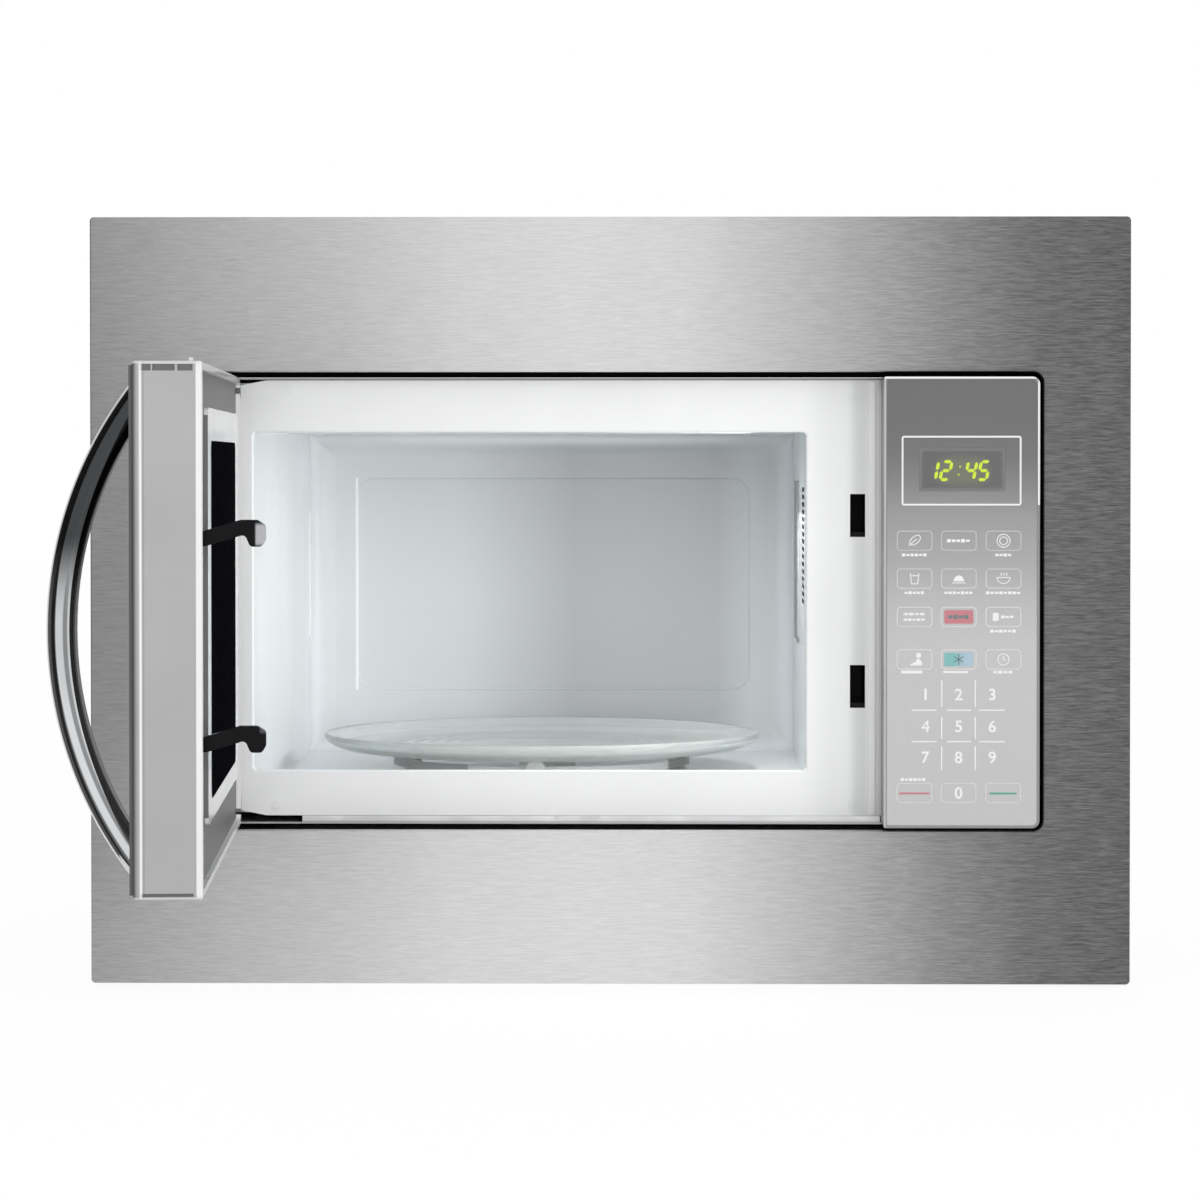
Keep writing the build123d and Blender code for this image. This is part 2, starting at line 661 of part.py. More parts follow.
with BuildPart() as hv_diode:
    diode_x = can_side + 9
    rod((diode_x, can_y[0] - 2, base_top + 3.4), (0, 1, 0), 3.4, 22)
    block(about(diode_x, 2), (can_y[0] - 12, can_y[0] - 2), (base_top + 2.4, base_top + 4.4))

# Fan: shroud on the rear panel, blade in its ring, motor on the shroud's bracket.
fan_centre = (middle(compartment_x), body_z[1] - fan_below_top)
shroud_size = 2 * (blade_radius + 6)
shroud_y = (rear_y[0] - 26, rear_y[0])
motor_y = (shroud_y[0] - 32, shroud_y[0] - 8)
with BuildPart() as fan_shroud:
    frame_layer(
        facing(rear_y[0] - 2), 2, (about(fan_centre[0], shroud_size), about(fan_centre[1], shroud_size)),
        (about(fan_centre[0], 80), about(fan_centre[1], 80)), 3, 39,
    )
    with BuildSketch(facing(shroud_y[0])):
        with Locations(fan_centre):
            Circle(blade_radius + 5)
            Circle(blade_radius + 3, mode=Mode.SUBTRACT)
    extrude(amount=-(shroud_y[1] - shroud_y[0]))
    for side in (-1, 1):
        x = fan_centre[0] + side * (blade_radius + 4)
        block(about(x, 3), (motor_y[0], shroud_y[0]), about(fan_centre[1], 12))
        reach = sorted((fan_centre[0] + side * 26, x + side * 1.5))
        block(reach, (motor_y[0] - 2, motor_y[0]), about(fan_centre[1], 12))

with BuildPart() as fan_motor:
    block(about(fan_centre[0], 60), (motor_y[0], motor_y[0] + 18), about(fan_centre[1], 46))
    fan_corners = fan_motor.edges().filter_by(Axis.Y)
    fillet(fan_corners, 4)
    winding_z = (fan_centre[1] - 34, fan_centre[1] - 23)
    block(about(fan_centre[0], 34), (motor_y[0] - 8, motor_y[0] + 24), winding_z)
    rod((fan_centre[0], motor_y[0] + 18, fan_centre[1]), (0, 1, 0), 7, 5)
    shaft_length = shroud_y[1] - motor_y[0] - 26
    rod((fan_centre[0], motor_y[0] + 18, fan_centre[1]), (0, 1, 0), shaft_radius, shaft_length)

blade_y = (shroud_y[0] + 3, shroud_y[1] - 7)
with BuildPart() as fan_blade:
    rod((fan_centre[0], blade_y[0], fan_centre[1]), (0, 1, 0), 11, blade_y[1] - blade_y[0])
    with Locations(Location((fan_centre[0], middle(blade_y), fan_centre[1]), (-90, 0, 0))):
        with PolarLocations(0, blade_count):
            with Locations(Location(((blade_radius + 9) / 2, 0, 0), (32, 0, 0))):
                Box(blade_radius - 9, 24, 1.4)
    rod(
        (fan_centre[0], blade_y[0] - 1, fan_centre[1]), (0, 1, 0),
        shaft_radius + running_clearance, 40, mode=Mode.SUBTRACT,
    )

with BuildPart() as noise_filter:
    board_z = (body_z[1] - 52, body_z[1] - 16)
    board_y = (rear_y[0] - 12, rear_y[0] - 10.4)
    block(grown(compartment_x, -12), board_y, board_z)
    for x in (compartment_x[0] + 16, compartment_x[1] - 16):
        rod((x, board_y[1], middle(board_z)), (0, 1, 0), 3, rear_y[0] - board_y[1])
    rod((compartment_x[0] + 40, board_y[0], middle(board_z)), (0, -1, 0), 12, 12)
    rod((compartment_x[0] + 40, board_y[0], middle(board_z)), (0, -1, 0), 5, 13, mode=Mode.SUBTRACT)
    block((compartment_x[0] + 60, compartment_x[0] + 86), (board_y[0] - 14, board_y[0]), grown(board_z, -8))
    rod((compartment_x[0] + 94, board_y[0] - 5, board_z[0] + 6), (0, 0, 1), 3, 22)
    block(about(compartment_x[0] + 94, 5), (board_y[0] - 5, board_y[0]), (board_z[0] + 6, board_z[0] + 28))

# Lamp behind the perforated patch of the cavity's right wall.
lamp_place = (plate_y[1] + 70, lamp_middle_z)
with BuildPart() as lamp_holder:
    holder_x = cavity_x[1] + cavity_sheet
    block((holder_x, holder_x + 1.2), about(lamp_place[0], 44), about(lamp_place[1], 52))
    rod((holder_x + 1.2, lamp_place[0], lamp_place[1] + 21), (1, 0, 0), 3, 20)
    block(
        (cavity_x[1] + 12, cavity_x[1] + 30), about(lamp_place[0], 20),
        (lamp_place[1] + 14, lamp_place[1] + 26),
    )
with BuildPart() as lamp_bulb:
    with Locations((cavity_x[1] + 20, lamp_place[0], lamp_place[1] - 4)):
        Sphere(11)
    rod((cavity_x[1] + 20, lamp_place[0], lamp_place[1] - 4), (0, 0, 1), 7, 18)

cutout_place = (cavity_x[1] - 60, cavity_y[0] + 200, cavity_z[1] + cavity_sheet)
with BuildPart() as thermal_cutout:
    block(about(cutout_place[0], 30), about(cutout_place[1], 12), (cutout_place[2], cutout_place[2] + 1))
    rod(cutout_place, (0, 0, 1), 8, 9)
    for side in (-1, 1):
        tag_z = (cutout_place[2] + 9, cutout_place[2] + 16)
        block(about(cutout_place[0] + side * 4, 1), about(cutout_place[1], 5), tag_z)

# ---------------------------------------------------------------- turntable drive
floor_z = cavity_z[0]
plate_bottom_z = floor_z + 2 * roller_radius + seat_gap
coupler_z = (floor_z + 1.5, plate_bottom_z - seat_gap)
with BuildPart() as turntable_motor:
    rod((*motor_place, cavity_under), (0, 0, -1), motor_radius, cavity_under - base_top - 1.5)
    for side in (-1, 1):
        ear_x = about(turntable_x + side * (motor_radius + 2), 10)
        block(ear_x, about(turntable_y, 9), (cavity_under - 1.2, cavity_under))
    rod((*motor_place, cavity_under), (0, 0, 1), shaft_radius, coupler_z[1] - cavity_under - 1.5)

coupler_arm = 21.0
with BuildPart() as drive_coupler:
    rod((*motor_place, coupler_z[0]), (0, 0, 1), 9, coupler_z[1] - coupler_z[0])
    with Locations((turntable_x, turntable_y, coupler_z[0] + 4)):
        with PolarLocations(0, roller_count):
            with Locations((coupler_arm / 2, 0)):
                Box(coupler_arm, 7, 8)
    rod(
        (*motor_place, coupler_z[0] - 1), (0, 0, 1), shaft_radius + running_clearance,
        coupler_z[1] - coupler_z[0] - 0.3, mode=Mode.SUBTRACT,
    )

roller_z = floor_z + roller_radius + seat_gap / 2
ring_outer = roller_track_radius - roller_width / 2 - 1
ring_inner = ring_outer - roller_ring_width
with BuildPart() as roller_ring:
    with BuildSketch(Plane.XY.offset(roller_z - 2)):
        with Locations((turntable_x, turntable_y)):
            Circle(ring_outer)
            Circle(ring_inner, mode=Mode.SUBTRACT)
    extrude(amount=4)
    for index in range(roller_count):
        angle = radians(index * 360 / roller_count - 90)
        out = (cos(angle), sin(angle), 0)
        start = (turntable_x + (ring_outer - 2) * out[0], turntable_y + (ring_outer - 2) * out[1], roller_z)
        rod(start, out, roller_pin_radius, roller_width + 5)
        cap = ring_outer + roller_width + 2
        rod((turntable_x + cap * out[0], turntable_y + cap * out[1], roller_z), out, 3, 1.5)


def roller_wheel(index):
    """One roller on its pin, which points outwards from the ring."""
    angle = radians(index * 360 / roller_count - 90)
    out = (cos(angle), sin(angle), 0)
    inner_end = roller_track_radius - roller_width / 2
    start = (turntable_x + inner_end * out[0], turntable_y + inner_end * out[1], roller_z)
    with BuildPart() as wheel:
        rod(start, out, roller_radius, roller_width)
        tread = wheel.edges().filter_by(GeomType.CIRCLE)
        fillet(tread, 0.8)
        rod(start, out, roller_pin_radius + running_clearance, roller_width, mode=Mode.SUBTRACT)
    return wheel.part


# Glass plate: flat base, rising rim, and three lugs that the coupler's arms push.
with BuildPart() as glass_turntable:
    with BuildSketch(Plane(origin=(turntable_x, turntable_y, 0), x_dir=(1, 0, 0), z_dir=(0, -1, 0))):
        with BuildLine():
            low = plate_bottom_z
            top = plate_bottom_z + turntable_height
            base_end = (turntable_base_radius, low)
            rim_under = (turntable_radius, top - 3)
            rim_top = (turntable_radius - 1.5, top)
            rim_inner = (turntable_radius - 4, top - 2)
            well_end = (turntable_base_radius - 2, low + glass_wall)
            Polyline((0, low + glass_wall), (0, low), base_end)
            Spline(base_end, rim_under, tangents=((1, 0), (1, 1.1)))
            Spline(rim_under, rim_top, rim_inner, tangents=((0.3, 1), (-1, -1)))
            Spline(rim_inner, well_end, tangents=((-1, -1), (-1, 0)))
            Line(well_end, (0, low + glass_wall))
        make_face()
    revolve(axis=Axis((turntable_x, turntable_y, 0), (0, 0, 1)))
    with BuildSketch(Plane.XY.offset(plate_bottom_z)):
        with Locations((turntable_x, turntable_y)):
            with PolarLocations(16, roller_count, start_angle=180 / roller_count):
                Circle(4)
    extrude(amount=-4)

# ---------------------------------------------------------------- control panel
housing_wall = 2.5
overlay_sheet = 1.2
overlay_recess = 0.4
rim_width = 1.6
overlay_y = (face_y + overlay_recess, face_y + overlay_recess + overlay_sheet)
display_x = (panel_x[0] + 19.9, panel_x[1] - 19.8)
display_z = (front_z[1] - 65.1, front_z[1] - 40.6)
left_corner_radius = 1.2


def panel_outline(inset, mode=Mode.ADD):
    """The panel's outline moved in by the inset, rounder at its right-hand corners."""
    x, z = grown(panel_x, -inset), grown(front_z, -inset)
    corners_right = front_corner_radius - min(inset, front_corner_radius - 0.5)
    with BuildLine() as outline:
        FilletPolyline(
            (x[0], z[0]), (x[1], z[0]), (x[1], z[1]), (x[0], z[1]),
            radius=[left_corner_radius, corners_right, corners_right, left_corner_radius],
            close=True,
        )
    make_face(outline.edges(), mode=mode)


with BuildPart() as control_housing:
    with BuildSketch(facing(face_y)):
        panel_outline(0)
        panel_outline(rim_width, mode=Mode.SUBTRACT)
    extrude(amount=-(overlay_y[1] - face_y))
    with BuildSketch(facing(overlay_y[1])):
        panel_outline(0)
        oblong(display_x, display_z, mode=Mode.SUBTRACT)
    extrude(amount=-housing_wall)
    with BuildSketch(facing(overlay_y[1])):
        panel_outline(0)
        panel_outline(housing_wall, mode=Mode.SUBTRACT)
    extrude(amount=-(plate_y[0] - overlay_y[1]))
    rim_edges = control_housing.faces().sort_by(Axis.Y)[0].outer_wire().edges()
    fillet(rim_edges, 0.7)
    for z in (front_z[0] + 20, front_z[1] - 22):
        for x in grown(panel_x, -14):
            rod((x, overlay_y[1] + 1, z), (0, 1, 0), 3, 15)

with BuildPart() as keypad_overlay:
    with BuildSketch(facing(overlay_y[0])):
        panel_outline(rim_width + 0.05)
        oblong(display_x, display_z, mode=Mode.SUBTRACT)
    extrude(amount=-overlay_sheet)

with BuildPart() as display_window:
    block(grown(display_x, -0.1), (overlay_y[0], overlay_y[1] + housing_wall), grown(display_z, -0.1))

board_front = overlay_y[1] + 16
with BuildPart() as display_module:
    block(grown(display_x, -0.6), (overlay_y[1] + housing_wall, board_front), grown(display_z, -1.5))
    block(grown(display_x, -6), (board_front - 4, board_front), grown(display_z, 1.5))

with BuildPart() as control_board:
    block(grown(panel_x, -5), (board_front, board_front + 1.6), (front_z[0] + 14, front_z[1] - 14))
    back = board_front + 1.6
    block((panel_x[0] + 12, panel_x[0] + 40), (back, back + 15), (front_z[0] + 30, front_z[0] + 56))
    block((panel_x[0] + 52, panel_x[0] + 70), (back, back + 14), (front_z[0] + 34, front_z[0] + 62))
    block((panel_x[0] + 20, panel_x[0] + 60), (back, back + 3), (front_z[0] + 120, front_z[0] + 134))
    rod((panel_x[0] + 60, back, front_z[0] + 90), (0, 1, 0), 6, 8)
    rod((panel_x[0] + 26, back, front_z[0] + 86), (0, 1, 0), 5, 12)

# ---------------------------------------------------------------- latch board
latch_x = (slot_x[0] - 3, slot_x[1] + 3)
latch_y = (plate_y[1], plate_y[1] + 40)
pocket_y = (plate_y[1], hook_tip_v + pivot[1] + 9)
ledge_top = -0.375 * slot_height - ledge_clearance
lever_pivot = (pocket_y[1] - 3.0, slot_span_z[1][1] + 4)
lever_pin_radius = 1.5
with BuildPart() as latch_board:
    block(latch_x, latch_y, grown((slot_span_z[1][0], slot_span_z[0][1]), 8))
    block(latch_x, (latch_y[0], latch_y[0] + 3), (plate_z[0] + 2, plate_z[1] - 4))
    for span in slot_span_z:
        block(grown(latch_x, -3), (pocket_y[0] - 1, pocket_y[1]), grown(span, 1), mode=Mode.SUBTRACT)
        ledge_z = (span[0] - 1, middle(span) + ledge_top)
        block(grown(latch_x, -3), (pocket_y[0] + 3, pocket_y[0] + 14), ledge_z)
    # Space for the lever above the lower pocket, with its pin across.
    block(
        grown(latch_x, -3), (lever_pivot[0] - 5, lever_pivot[0] + 6),
        (slot_span_z[1][0] - 1, lever_pivot[1] + 5), mode=Mode.SUBTRACT,
    )
    rod((latch_x[0], *lever_pivot), (1, 0, 0), lever_pin_radius, latch_x[1] - latch_x[0])
    for x, z in rivet_points[2:]:
        rod((x, plate_y[1] - 1, z), (0, 1, 0), 1.6, 6, mode=Mode.SUBTRACT)

lever_x = (latch_x[0] + 3.6, latch_x[1] - 3.6)
with BuildPart() as interlock_lever:
    block(lever_x, about(lever_pivot[0], 2.4), (slot_span_z[1][0] + 1, lever_pivot[1]))
    rod((lever_x[0], *lever_pivot), (1, 0, 0), 3.4, lever_x[1] - lever_x[0])
    rod(
        (lever_x[0] - 1, *lever_pivot), (1, 0, 0), lever_pin_radius + running_clearance, 30,
        mode=Mode.SUBTRACT,
    )

with BuildPart() as microswitches:
    for z in (slot_span_z[0][0] + 6, slot_span_z[1][0] + 4, slot_span_z[1][0] + 24):
        block((latch_x[1], latch_x[1] + 10.3), (plate_y[1] + 8, plate_y[1] + 36), (z, z + 15.9))
        for step in (4, 12, 20):
            tag_y = (plate_y[1] + 8 + step, plate_y[1] + 12 + step)
            block(about(latch_x[1] + 5, 0.8), tag_y, (z - 3, z))

# ---------------------------------------------------------------- hinges
arm_top = front_z[1] - hinge_arm_below_door_top
arm_bottom = front_z[0] + hinge_arm_below_door_top
arm_spans = {
    1: (arm_top - hinge_arm_thickness, arm_top),
    -1: (arm_bottom, arm_bottom + hinge_arm_thickness),
}
boss_radius = hinge_pin_radius + 2.4


def hinge(side):
    """Hinge bracket at the top (side 1) or bottom (side -1): flange, arm and pin."""
    span = arm_spans[side]
    flange_edge = plate_z[1 if side > 0 else 0] - side * 1.6
    flange_z = sorted((flange_edge, flange_edge - side * hinge_flange_height))
    with BuildPart() as bracket:
        with BuildSketch(Plane.XY.offset(span[0])):
            with Locations(pivot):
                Circle(hinge_arm_half_width)
            arm_x = (plate_x[0] + 0.5, pivot[0] + hinge_arm_half_width - seat_gap)
            oblong(arm_x, (pivot[1], plate_y[1] + 1))
        extrude(amount=hinge_arm_thickness)
        block((plate_x[0] + 1.5, rivet_points[0][0] + 6), (plate_y[1], plate_y[1] + 2), flange_z)
        rivet_x, rivet_z = rivet_points[0 if side > 0 else 1]
        rod((rivet_x, plate_y[1] - 1, rivet_z), (0, 1, 0), 1.6, 6, mode=Mode.SUBTRACT)
        rod((*pivot, middle(span)), (0, 0, side), hinge_pin_radius, hinge_arm_below_door_top - 0.4)
    return bracket.part


# ---------------------------------------------------------------- door
door_span_z = front_z
pan_v = (door_v[1] - door_rim - pan_channel_depth, door_v[1])
frame_back_v = door_v[1] - door_rim
island_u = (door_u[0] + choke_band_hinge, door_u[1] - choke_band_free)
island_z = (door_span_z[0] + choke_band_bottom, door_span_z[1] - choke_band_top)
bezel_v = door_v[0] + glass_proud
glass_back_v = door_v[0] + glass_thickness
handle_u = door_u[1] - handle_from_free_edge
handle_screw_half = (front_z[1] - front_z[0]) / 2 - handle_screw_inset
handle_screw_z = [handle_middle_z + end * handle_screw_half for end in (-1, 1)]
inside_u = grown(door_u, -door_wall)
inside_z = grown(door_span_z, -door_wall)


def hinge_boss_room():
    """Room in the pan round the two bosses that the hinge pins turn in."""
    for side in (-1, 1):
        room_z = sorted((arm_spans[side][0], arm_spans[side][0] + side * 12))
        edge = boss_radius + seat_gap
        block((door_u[0] - 1, edge), (min(pan_v[0], edge) - 1, edge), room_z, mode=Mode.SUBTRACT)


def hinge_pockets():
    """Room in a door piece for both hinge arms over the whole swing."""
    for side in (-1, 1):
        span = grown(arm_spans[side], 0.5)
        block(
            (door_u[0] - 1, hinge_arm_half_width + 0.7), (-hinge_arm_half_width - 0.5, door_v[1] + 1),
            span, mode=Mode.SUBTRACT,
        )


with BuildPart(door_seat) as door_frame:
    frame_layer(
        facing_door(bezel_v), frame_back_v - bezel_v, (door_u, door_span_z), (inside_u, inside_z),
        door_corner_radius, door_corner_radius - door_wall,
    )
    bezel = door_frame.faces().sort_by(Axis(door_seat.origin, door_seat.y_dir))[0].outer_wire().edges()
    fillet(bezel, 1.9)
    # Ledge that the glass lies on, wide at the free side where the handle is screwed.
    frame_layer(
        facing_door(glass_back_v), door_wall, (grown(inside_u, 0.2), grown(inside_z, 0.2)),
        ((door_u[0] + 20, handle_u - handle_width / 2 - 6), grown(door_span_z, -16)), 2, 4,
    )
    for side in (-1, 1):
        wall_z = front_z[1] - door_wall if side > 0 else front_z[0] + door_wall
        arm_z = arm_spans[side][1 if side > 0 else 0] + side * seat_gap
        with BuildSketch(Plane(origin=(pivot[0], pivot[1], arm_z), z_dir=(0, 0, side))):
            Circle(boss_radius)
        extrude(amount=abs(wall_z - arm_z) + 0.5)
    hinge_pockets()
    for side in (-1, 1):
        arm_z = arm_spans[side][1 if side > 0 else 0]
        rod(
            (*pivot, arm_z - side), (0, 0, side), hinge_pin_radius + running_clearance,
            hinge_arm_below_door_top - hinge_arm_thickness / 2 + 1.2, mode=Mode.SUBTRACT,
        )
    # Shallow recesses in the free edge, three at the top and one along the bottom, and a stop.
    edge_u = (door_u[1] - edge_recess_depth, door_u[1] + 1)
    recess_top = door_span_z[1] - edge_recess_from_end
    recess_bottom = door_span_z[0] + edge_recess_from_end
    for span in edge_recess_spans:
        block(
            edge_u, (door_v[0] + span[0], door_v[0] + span[1]),
            (recess_top - edge_recess_height, recess_top), mode=Mode.SUBTRACT,
        )
    block(
        edge_u, (door_v[0] + edge_recess_spans[0][0], door_v[0] + edge_recess_spans[2][1]),
        (recess_bottom, recess_bottom + edge_recess_height / 2), mode=Mode.SUBTRACT,
    )
    block(
        about(door_u[1] - 5, edge_stop_size[0]), about(frame_back_v - 2.4, edge_stop_size[1]),
        (door_span_z[1] - 1, door_span_z[1] + edge_stop_size[2]),
    )
    for z in handle_screw_z:
        rod(
            door_seat.from_local_coords((handle_u, glass_back_v - 1, z)), door_seat.y_dir,
            screw_radius + hole_play, 6, mode=Mode.SUBTRACT,
        )

with BuildPart(door_seat) as door_glass:
    with BuildSketch(facing_door(door_v[0])):
        glass_outline = (grown(door_u, -glass_inset), grown(door_span_z, -glass_inset))
        oblong(*glass_outline, door_corner_radius - glass_inset)
    extrude(amount=-glass_proud)
    with BuildSketch(facing_door(bezel_v)):
        seated_outline = (grown(inside_u, -glass_gap), grown(inside_z, -glass_gap))
        oblong(*seated_outline, door_corner_radius - door_wall - glass_gap)
    extrude(amount=-(glass_thickness - glass_proud))
    for z in handle_screw_z:
        rod(
            door_seat.from_local_coords((handle_u, door_v[0] - 1, z)), door_seat.y_dir,
            screw_radius + 0.3, glass_thickness + 2, mode=Mode.SUBTRACT,
        )

# White steel pan: rim, channel all round, and a raised middle with the window's hole.
channel_u = grown(inside_u, -seat_gap)
channel_z = grown(inside_z, -seat_gap)
window_u = (door_u[1] - window_from_free_edge - window_width, door_u[1] - window_from_free_edge)
window_bottom = door_span_z[0] + window_above_door_bottom
window_z = (window_bottom, window_bottom + cavity_opening_height - window_below_opening)
bar_v = (pan_v[0] + pan_sheet + 1.5, pan_v[0] + pan_sheet + 8.0)
key_z = (hook_middle_z - hook_spacing / 2 - 18, hook_middle_z + hook_spacing / 2 + 12)
spring_length = 16.0
with BuildPart(door_seat) as door_pan:
    frame_layer(
        facing_door(frame_back_v), door_rim, (door_u, door_span_z),
        (grown(door_u, -door_rim_width), grown(door_span_z, -door_rim_width)),
        door_corner_radius, door_corner_radius - 2,
    )
    pan_rim = door_pan.faces().sort_by(Axis(door_seat.origin, door_seat.y_dir))[-1].outer_wire().edges()
    fillet(pan_rim, 1.4)
    frame_layer(
        facing_door(pan_v[0]), pan_channel_depth, (channel_u, channel_z),
        (grown(channel_u, -pan_sheet), grown(channel_z, -pan_sheet)), 2, 1,
    )
    frame_layer(
        facing_door(pan_v[0]), pan_sheet, (channel_u, channel_z),
        (grown(island_u, -pan_sheet), grown(island_z, -pan_sheet)), 2, island_corner_radius - pan_sheet,
    )
    frame_layer(
        facing_door(pan_v[0]), door_v[1] - pan_island_recess - pan_v[0], (island_u, island_z),
        (grown(island_u, -pan_sheet), grown(island_z, -pan_sheet)),
        island_corner_radius, island_corner_radius - pan_sheet,
    )
    frame_layer(
        facing_door(door_v[1] - pan_island_recess - pan_sheet), pan_sheet, (island_u, island_z),
        (window_u, window_z), island_corner_radius, 6,
    )
    hinge_pockets()
    hinge_boss_room()
    # Guides on both sides of the latch key's bar, and the post that holds its spring.
    for height in (-20, 20):
        for side in (-1, 1):
            ear = middle(hook_u) + side * (hook_width / 2 + seat_gap + 1.2)
            block(about(ear, 1.8), (pan_v[0] + pan_sheet, bar_v[1]), about(height, 10))
    block(
        about(middle(hook_u), 4), (pan_v[0] + pan_sheet, bar_v[1]),
        (key_z[0] - spring_length - 4, key_z[0] - spring_length),
    )

with BuildPart(door_seat) as choke_cover:
    cover_outer = (grown(door_u, -door_rim_width - 0.1), grown(door_span_z, -door_rim_width - 0.1))
    with BuildSketch(facing_door(door_v[1] - choke_recess - choke_sheet)):
        oblong(*cover_outer, door_corner_radius - 2.1)
        oblong(grown(island_u, 0.1), grown(island_z, 0.1), island_corner_radius + 0.1, mode=Mode.SUBTRACT)
        for span in slot_span_z:
            cover_slot = (middle(span) - 0.42 * slot_height, middle(span) + 0.25 * slot_height)
            oblong(grown(hook_u, 0.9), cover_slot, 1, mode=Mode.SUBTRACT)
    extrude(amount=-choke_sheet)
    hinge_pockets()

with BuildPart(door_seat) as window_film:
    film_front = door_v[1] - pan_island_recess + 0.3
    with BuildSketch(facing_door(film_front - window_glass)):
        oblong(grown(window_u, -0.1), grown(window_z, -0.1), 5.9)
    extrude(amount=-window_glass)

with BuildPart(door_seat) as door_screen:
    screen_back = film_front - window_glass
    with BuildSketch(facing_door(screen_back - screen_sheet)):
        oblong(grown(window_u, 8), grown(window_z, 6), 4)
    extrude(amount=-screen_sheet)

# ---------------------------------------------------------------- handle
handle_half = (front_z[1] - front_z[0]) / 2 - handle_end_inset
handle_radius = (handle_half**2 + handle_protrusion**2) / (2 * handle_protrusion)
handle_v = door_v[0] - handle_protrusion + handle_radius
with BuildPart() as door_handle:
    handle_centre = door_seat.from_local_coords((0, handle_v, handle_middle_z))
    handle_axis = Axis(handle_centre, door_seat.x_dir)
    outermost = handle_radius - handle_thickness / 2
    with BuildSketch(Plane(
        origin=door_seat.from_local_coords((handle_u, handle_v - outermost, handle_middle_z)),
        x_dir=door_seat.x_dir, z_dir=(0, 0, 1),
    )):
        RectangleRounded(handle_width, handle_thickness, handle_thickness * 0.42)
    revolve(axis=handle_axis, revolution_arc=90)
    mirror(about=Plane(origin=handle_centre, z_dir=(0, 0, 1)))
    split(bisect_by=facing_door(door_v[0]), keep=Keep.TOP)
    for z in handle_screw_z:
        rod(
            door_seat.from_local_coords((handle_u, door_v[0] + 1, z)), -door_seat.y_dir,
            screw_radius + 0.02, 10, mode=Mode.SUBTRACT,
        )

with BuildPart() as handle_screws:
    for z in handle_screw_z:
        screw(
            door_seat.from_local_coords((handle_u, glass_back_v + door_wall, z)),
            door_seat.y_dir, door_wall + glass_thickness + 8,
        )

# ---------------------------------------------------------------- latch key
with BuildPart(door_seat) as latch_key:
    block(hook_u, bar_v, key_z)
    for span in slot_span_z:
        with BuildSketch(Plane(
            origin=door_seat.from_local_coords((hook_u[0], 0, middle(span))),
            x_dir=door_seat.y_dir, z_dir=door_seat.x_dir,
        )):
            tip = hook_tip_v
            with BuildLine():
                Polyline(
                    (bar_v[0] + 1, -9), (door_v[1] + 1, -9), (tip - 10, -3.5), (tip - 7.5, -9.3),
                    (tip - 2, -9.3), (tip, -6), (tip, 1), (tip - 4, 3.6), (tip - 12, 3.6),
                    (door_v[1] - 1, -2), (bar_v[0] + 1, -2), close=True,
                )
            make_face()
            fillet(vertices().sort_by(Axis.X)[3:], hook_rounding)
        extrude(amount=hook_width)
    block(about(middle(hook_u), 3), (bar_v[0], bar_v[1]), (key_z[0] - 1, key_z[0]))

spring_radius = 2.3
spring_wire = 0.45
spring_coils = 8
with BuildPart() as latch_spring:
    spring_pitch = (spring_length - 2 - 2 * spring_wire) / spring_coils
    spring_low = key_z[0] - spring_length + spring_wire + 0.5
    spring_base = door_seat.from_local_coords((middle(hook_u), middle(bar_v), spring_low))
    with BuildLine(Plane(origin=spring_base, x_dir=door_seat.x_dir, z_dir=(0, 0, 1))):
        coil = Helix(spring_pitch, spring_pitch * spring_coils, spring_radius)
    with BuildSketch(Plane(origin=coil @ 0, z_dir=coil % 0)):
        Circle(spring_wire)
    sweep(is_frenet=True)

